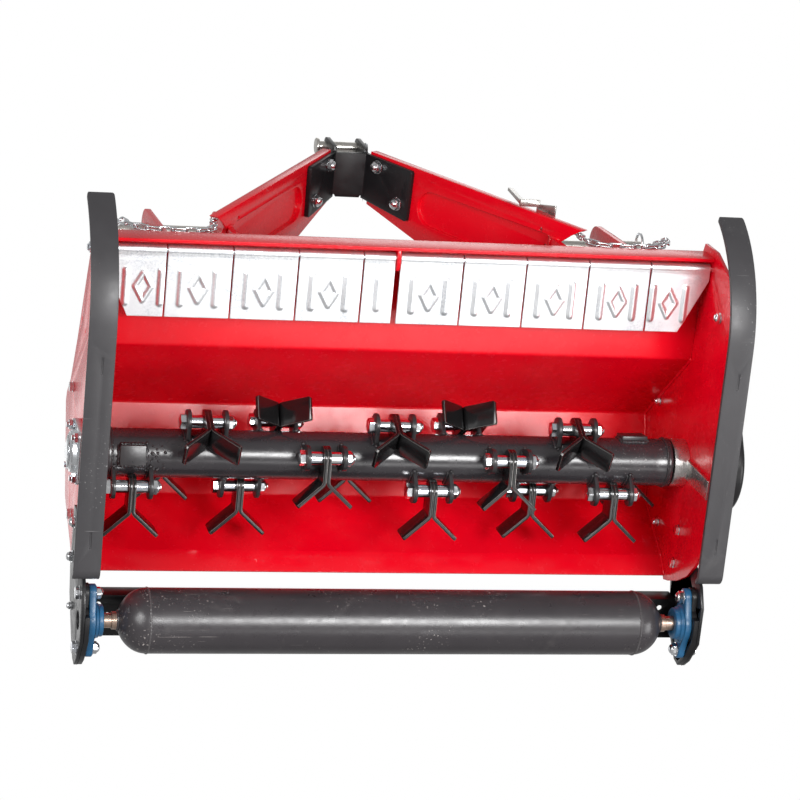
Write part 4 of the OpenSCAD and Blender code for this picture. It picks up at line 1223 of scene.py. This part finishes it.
# ------------------------------------------------------------------ gearbox, shafts
refine("gearbox", GREY, bevel=2.0, seg=3, bang=40, smooth=46)
b = bmesh.new()
for s in (-1, 1):
    for k in range(6):
        t = rad(30 + 60 * k)
        y, z = DY + 37 * cos(t), DZ + 37 * sin(t)
        hexa(b, s * 82.1, s * 87, y, z, 10)
for k in range(6):
    t = rad(60 * k)
    hexa(b, 88, 84, 37 * cos(t), DZ + 37 * sin(t), 10, axis="y")
for x in (-44, 44):
    for y in (DY - 34, DY + 34):
        hexa(b, 396, 401, x, y, 10, axis="z")
hexa(b, 404, 409, 26, DY + 14, 17, axis="z")
lathe2(b, [(404, 0), (404, 8.5), (405, 9)], (26, DY + 14))
hexa(b, 211, 216, 30, 298, 14, axis="y")
finish_mesh("gearbox_screws", b, "mower_frame", ZINC, smooth=34, slot="zinc")
refine("pto_shaft", STEEL, bevel=0.4, seg=2, bang=44, smooth=34)
b = bmesh.new()
prof = [(88, 48), (88, 60.5), (87, 62), (85, 62), (84, 58.5), (82, 57.4), (70, 58.8), (58, 60.6), (48, 62.6), (46.4, 63.6), (45.8, 63.4), (46.0, 62.2), (58, 58.4), (70, 56.0), (82, 53.8), (84, 52.6), (84, 48), (88, 48)]
lathe(b, prof, 0, DZ, 96, "y")
for k in range(4):
    t = rad(45 + 90 * k)
    hexa(b, 84, 79.6, 53 * cos(t) * 0.97, DZ + 53 * sin(t) * 0.97, 7, axis="y", mi=1)
finish_mesh("pto_shield", b, "mower_frame", [PLASTIC, ZINC], reps=("pto_guard",), smooth=36, slot="black_plastic")
refine("cross_tube", RED, bevel=0.9, seg=3, bang=40, smooth=40)
b = bmesh.new()
ring_weld(b, 93, DY, DZ, 33, 2.4)
ring_weld(b, HW - 10, DY, DZ, 33, 2.4)
finish_mesh("cross_tube_welds", b, "mower_frame", RED, smooth=60, slot="red_paint")
refine("cross_shaft", STEEL, bevel=0.9, bang=50)

# ------------------------------------------------------------------ hitch
for nd in ("a_frame_left", "a_frame_right"):
    refine(nd, RED, bevel=0.9, seg=3, bang=30, smooth=36)
refine("top_link_bracket", BLACK, bevel=1.0, seg=3, bang=24, smooth=36)
refine("hitch_ears", RED, bevel=1.0, seg=3, bang=40, smooth=36)
b = bmesh.new()
for s in (-1, 1):
    for d in (-60, 60):
        x = s * HITCH + d
        for e in (-1, 1):
            weld(b, [(x + e * 5.6, y, 209.8) for y in range(-8, 117, 6)], 2.6, ripple=0.10, step=1.8)
# beads joining the lower end of each leg to its inner ear, in the leg's own frame
for s in (-1, 1):
    ly = Matrix.Scale(-1, 4, Vector((1, 0, 0))) if s < 0 else Matrix.Identity(4)
    M = ly @ Matrix.Translation(Vector((33, 0, 700))) @ Matrix.Rotation(rad(57), 4, "Y")
    for w in (-0.6, 4.6):
        weld(b, [M @ Vector((u, -7.2, w)) for u in range(453, 479, 3)], 2.6, ripple=0.10, step=1.8)
        weld(b, [M @ Vector((455.6, v, w)) for v in range(-6, 12, 3)], 2.4, ripple=0.10, step=1.8)
finish_mesh("ear_welds", b, "mower_frame", RED, smooth=60, slot="red_paint")

# pins, lynch pins with rings, top link pin
b = bmesh.new()
for s in (-1, 1):
    a = HITCH

    def L(prof, seg=40, mi=0):
        P = [(s * q, r) for q, r in prof]
        lathe(b, P if s > 0 else list(reversed(P)), LPY, LPZ, seg, mi=mi)

    L([(a - 92, 0), (a - 92, 9.5), (a - 90.5, 11), (a - 86, 11), (a + 65.2, 11), (a + 65.2, 14), (a + 66, 14), (a + 138, 14), (a + 141, 13.4), (a + 144, 11), (a + 146, 8.6), (a + 146, 0)])
    L([(a - 72, 11), (a - 72, 15), (a - 69.6, 15), (a - 69.6, 11)])
    for x in (s * (a - 82), s * (a + 132)):
        # tapered lynch pin with a collar and a sprung ring
        tube(b, [(x, LPY, LPZ - 24), (x, LPY, LPZ - 20), (x, LPY, LPZ + 16), (x, LPY, LPZ + 20)], 3.0, 16, mi=1, rf=lambda i: (0.85, 1, 1, 0.6)[i])
        lathe2(b, [(LPZ - 24.6, 0), (LPZ - 24.6, 5.2), (LPZ - 23.6, 6.6), (LPZ - 19.4, 6.6), (LPZ - 18, 5.4), (LPZ - 18, 0)], (x, LPY), 28, 1)
        c = Vector((x, LPY - 13, LPZ - 17))
        pts = [c + Vector((0.0, 19 * cos(2 * pi * k / 48), 19 * sin(2 * pi * k / 48))) for k in range(48)]
        tube(b, pts, 2.2, 10, closed=True, mi=1)
lathe(b, [(-52, 0), (-52, 13.6), (-50.6, 15), (-47.4, 15), (-46, 14.2), (-46, 9.5), (44.5, 9.5), (46, 8.2), (46, 0)], TPY, TPZ, 40)
tube(b, [(40, TPY, TPZ - 14), (40, TPY, TPZ + 16)], 2.5, 12, mi=1)
c = Vector((40, TPY + 2, TPZ - 15))
tube(b, [c + Vector((0, 13 * cos(2 * pi * k / 40), 13 * sin(2 * pi * k / 40))) for k in range(40)], 1.8, 10, closed=True, mi=1)
finish_mesh("hitch_pin_set", b, "mower_frame", [PINM, ZINC], reps=("hitch_pins",), smooth=36, slot="bare_steel")

# chains: stadium links of round wire
CN, CP = 24, 21.5


def chead(i):
    if i < 11:
        return -90 if i < 6 else -90 - 18 * (i - 5)
    if i < 16:
        return -180 if i < 13 else -180 - 27 * (i - 12)
    return {16: -270, 17: -255, 18: -240}.get(i, -235)


def clean(i):
    return -0.40 if i < 6 else 0.0


def cstep(i):
    if i >= 21:
        v = ((-0.35, 0.55, 0.76), (-0.25, 0.87, 0.43), (-0.1, 0.95, 0.2))[i - 21]
        return Vector(v).normalized() * CP
    h = rad(chead(i))
    return Vector((cos(h), clean(i), sin(h))).normalized() * CP


b = bmesh.new()
for s in (-1, 1):
    p = Vector((HITCH + 132, 27, 392.5))
    for i in range(CN):
        d = cstep(i)
        c = p + d / 2
        p = p + d
        u = d.normalized()
        yaw, pitch = math.atan2(u.y, u.x), -math.asin(u.z)
        M = Matrix.Translation(c) @ Matrix.Rotation(yaw, 4, "Z") @ Matrix.Rotation(pitch, 4, "Y") @ Matrix.Rotation(rad(45 if i % 2 == 0 else -45), 4, "X")
        pts = []
        for k in range(12):
            t = -pi / 2 + pi * k / 11
            pts.append(Vector((9 + 4.75 * cos(t), 4.75 * sin(t), 0)))
        for k in range(12):
            t = pi / 2 + pi * k / 11
            pts.append(Vector((-9 + 4.75 * cos(t), 4.75 * sin(t), 0)))
        pts = [M @ q for q in pts]
        if s < 0:
            pts = [Vector((-q.x, q.y, q.z)) for q in pts]
        tube(b, pts, 1.85, 10, closed=True)
finish_mesh("chain_links", b, "mower_frame", CHAIN, reps=("safety_chains",), smooth=60, slot="zinc")
refine("pto_hook", STEEL, bevel=0.6, bang=30, smooth=40)

# ------------------------------------------------------------------ fasteners
b = bmesh.new()


def boltx(x0, g, y, z, r, af, s=1, crown=True):
    """Bolt along s*X: head outside x0, grip g, nut with a rounded crown."""
    d = s
    hexa(b, d * x0, d * (x0 - 1.3 * r), y, z, af, turn=RND.uniform(0, 1), chamfer_hi=True)
    washer(b, d * (x0 + 0.05), d * (x0 - 0.9), y, z, af * 0.62)
    lathe(b, [(d * x0, r), (d * (x0 + g), r)], y, z, 24)
    x1 = x0 + g
    washer(b, d * x1, d * (x1 + 1.2), y, z, af * 0.66, hole=r * 0.9)
    hexa(b, d * (x1 + 1.1), d * (x1 + r * 1.35), y, z, af, turn=RND.uniform(0, 1), chamfer_lo=True)
    rc = af * 0.44
    lathe(b, [(d * (x1 + r * 1.3), rc), (d * (x1 + r * 1.55), rc * 0.98), (d * (x1 + r * 1.8), rc * 0.84), (d * (x1 + r * 2.0), rc * 0.62), (d * (x1 + r * 2.1), rc * 0.5), (d * (x1 + r * 2.1), 0)], y, z, 28)


for s in (-1, 1):
    for dd in (-48.5, 48.5):
        # heads outside the bracket, nuts inside
        x0 = PO + 6.4
        boltx(-x0, 26.4, ROLY + dd, ROLZ, 6, 19, s=-s)
    for p in ((536, 163), (473, 158)):
        boltx(HW - 0.1, T + 6.6, p[0], p[1], 5.2, 16, s=s)
    for p in ((292, 336), (498, 268), (66, 90)):
        boltx(-PO - 0.1, T + 0.2, p[0], p[1], 5.2, 15, s=-s)
    boltx(HW - 8.3, 20.7, 615, 139, 4.2, 11, s=s)
    for a in range(45, 360, 90):
        y, z = RY + 50 * cos(rad(a)), RZ + 50 * sin(rad(a))
        washer(b, s * (PO + 12.05), s * (PO + 13.6), y, z, 10.5)
        hexa(b, s * (PO + 13.5), s * (PO + 20), y, z, 16, turn=RND.uniform(0, 1), chamfer_lo=True)
        lathe(b, [(s * (PO + 6), 5), (s * (PO + 23.4), 5), (s * (PO + 24), 4.3), (s * (PO + 24), 0)], y, z, 24)
    # bracket bolts through the legs, in the legs' own frame
    ly = Matrix.Scale(-1, 4, Vector((1, 0, 0))) if s < 0 else Matrix.Identity(4)
    M = ly @ Matrix.Translation(Vector((33, 0, 700))) @ Matrix.Rotation(rad(57), 4, "Y")
    for p in ((36, -39), (92, 17)):
        t = bmesh.new()
        hexa(t, 5.2, 12.4, p[0], p[1], 19, axis="z", turn=RND.uniform(0, 1))
        lathe2(t, [(4.05, 0), (4.05, 11.6), (4.4, 12), (5.2, 12), (5.4, 11.6)], p, 36)
        lathe2(t, [(-8.2, 6), (8, 6)], p, 24)
        lathe2(t, [(-8.1, 0), (-8.1, 11.6), (-8.5, 12), (-9.4, 12), (-9.6, 11.5)], p, 36)
        hexa(t, -9.5, -17, p[0], p[1], 19, axis="z", turn=RND.uniform(0, 1), chamfer_lo=True)
        lathe2(t, [(-16.8, 8.4), (-18.4, 8.2), (-20.2, 7.2), (-21.6, 5.6), (-22.4, 3.8), (-22.8, 0)], p, 28)
        copy_in(b, t, M)
        t.free()
for x in (-60, 60):
    for y in (126, 186):
        hexa(b, 277.05, 283, x + (-16 if x < 0 else 16), y, 14, axis="z", turn=RND.uniform(0, 1))
for x in (-88.5, 88.5):
    for y in (112, 154):
        hexa(b, 215.1, 221, x, y, 16, axis="z", turn=RND.uniform(0, 1))
        lathe2(b, [(214.1, 0), (214.1, 10.4), (215.1, 10.4), (215.2, 0)], (x, y), 28)
        lathe2(b, [(209.5, 0), (209.5, 5), (214.2, 5)], (x, y), 24)
lathe(b, [(PO + 33.8, 0), (PO + 33.8, 8), (PO + 72, 8)], 284, 292, 28)
hexa(b, PO + 72, PO + 77, 284, 292, 22)
finish_mesh("fastener_set", b, "mower_frame", ZINC, reps=("fasteners",), smooth=36, slot="zinc")

# ------------------------------------------------------------------ camera, light, floor
sc = bpy.context.scene
R = ((0.97015162, -0.0948929, -0.22316175), (0.02286476, 0.95195292, -0.30538967), (0.24141879, 0.29117174, 0.92570837))
C = Vector(((-1207.832 + OX) / 1000, (-1209.655 + OY) / 1000, -4.470065))
cam_d = bpy.data.cameras.new("photo_camera")
cam = bpy.data.objects.new("photo_camera", cam_d)
sc.collection.objects.link(cam)
cam_d.sensor_width = 36.0
cam_d.sensor_fit = "HORIZONTAL"
cam_d.lens = 133.032
cam_d.clip_end = 100
rot = Matrix((R[0], tuple(-v for v in R[1]), tuple(-v for v in R[2]))).transposed()
cam.matrix_world = Matrix.Translation(C) @ rot.to_4x4()
sc.camera = cam

# studio surround: white behind the object as the camera sees it, a dimmer room as the object sees it,
# darker below the machine than above it
world = bpy.data.worlds.new("studio") if not sc.world else sc.world
sc.world = world
world.use_nodes = True
wt = world.node_tree
wt.nodes.clear()
w_out = wt.nodes.new("ShaderNodeOutputWorld")
w_mix = wt.nodes.new("ShaderNodeMixShader")
w_cam = wt.nodes.new("ShaderNodeBackground")
w_room = wt.nodes.new("ShaderNodeBackground")
w_path = wt.nodes.new("ShaderNodeLightPath")
w_co = wt.nodes.new("ShaderNodeTexCoord")
w_sep = wt.nodes.new("ShaderNodeSeparateXYZ")
w_up = wt.nodes.new("ShaderNodeMapRange")
wt.links.new(w_co.outputs["Generated"], w_sep.inputs[0])
wt.links.new(w_sep.outputs[2], w_up.inputs["Value"])
w_up.interpolation_type = "SMOOTHSTEP"
ROOM_LOW, ROOM_HIGH = 0.20, 0.46
for k, v in (("From Min", -0.35), ("From Max", 0.75), ("To Min", ROOM_LOW), ("To Max", ROOM_HIGH)):
    w_up.inputs[k].default_value = v
w_cam.inputs[0].default_value = (1, 1, 1, 1)
w_cam.inputs[1].default_value = 1.0
w_room.inputs[0].default_value = (1, 1, 1, 1)
wt.links.new(w_up.outputs[0], w_room.inputs[1])
wt.links.new(w_path.outputs["Is Camera Ray"], w_mix.inputs[0])
wt.links.new(w_room.outputs[0], w_mix.inputs[1])
wt.links.new(w_cam.outputs[0], w_mix.inputs[2])
wt.links.new(w_mix.outputs[0], w_out.inputs[0])


def area(name, loc, target, size, power, color=(1, 1, 1), size_y=None):
    d = bpy.data.lights.new(name, "AREA")
    d.energy = power
    d.color = color
    d.shape = "RECTANGLE"
    d.size = size
    d.size_y = size_y or size
    o = bpy.data.objects.new(name, d)
    sc.collection.objects.link(o)
    o.location = loc
    o.rotation_euler = (Vector(target) - Vector(loc)).to_track_quat("-Z", "Y").to_euler()
    o.visible_camera = False
    return o


area("front_box", (1.1, -1.45, -4.2), (0, 0, 0.15), 1.3, 150)
area("hood_box", (1.25, 1.35, -4.2), (0, 0, 0.15), 1.2, 13, size_y=1.0)
area("left_soft", (-3.2, -1.6, -3.0), (0, 0, 0.2), 2.2, 125)
area("right_soft", (3.4, 0.4, -2.4), (0, 0.1, 0.2), 1.8, 52)
area("over_soft", (1.4, -1.4, 4.4), (0, 0, 0.2), 1.5, 11)
area("over_left", (-1.6, 1.7, 4.4), (0, 0, 0.2), 1.6, 7)

fb = bmesh.new()
S = 30
for v in ((-S, -S), (S, -S), (S, S), (-S, S)):
    fb.verts.new((v[0], v[1], -7.6))
fb.verts.ensure_lookup_table()
fb.faces.new(fb.verts)
fm = bpy.data.meshes.new("floor")
fb.to_mesh(fm)
fb.free()
fm.materials.append(floor_mat())
floor = bpy.data.objects.new("floor", fm)
sc.collection.objects.link(floor)
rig.stage(floor)

sc.view_settings.view_transform = "Standard"
sc.view_settings.look = "None"
sc.view_settings.exposure = 0.0
sc.view_settings.gamma = 1.0

bpy.context.view_layer.update()
lo1, hi1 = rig.bounds()
with open("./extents.json", "w") as fh:
    json.dump({"cad": [list(map(float, lo0)), list(map(float, hi0))], "visual": [list(map(float, lo1)), list(map(float, hi1))]}, fh)
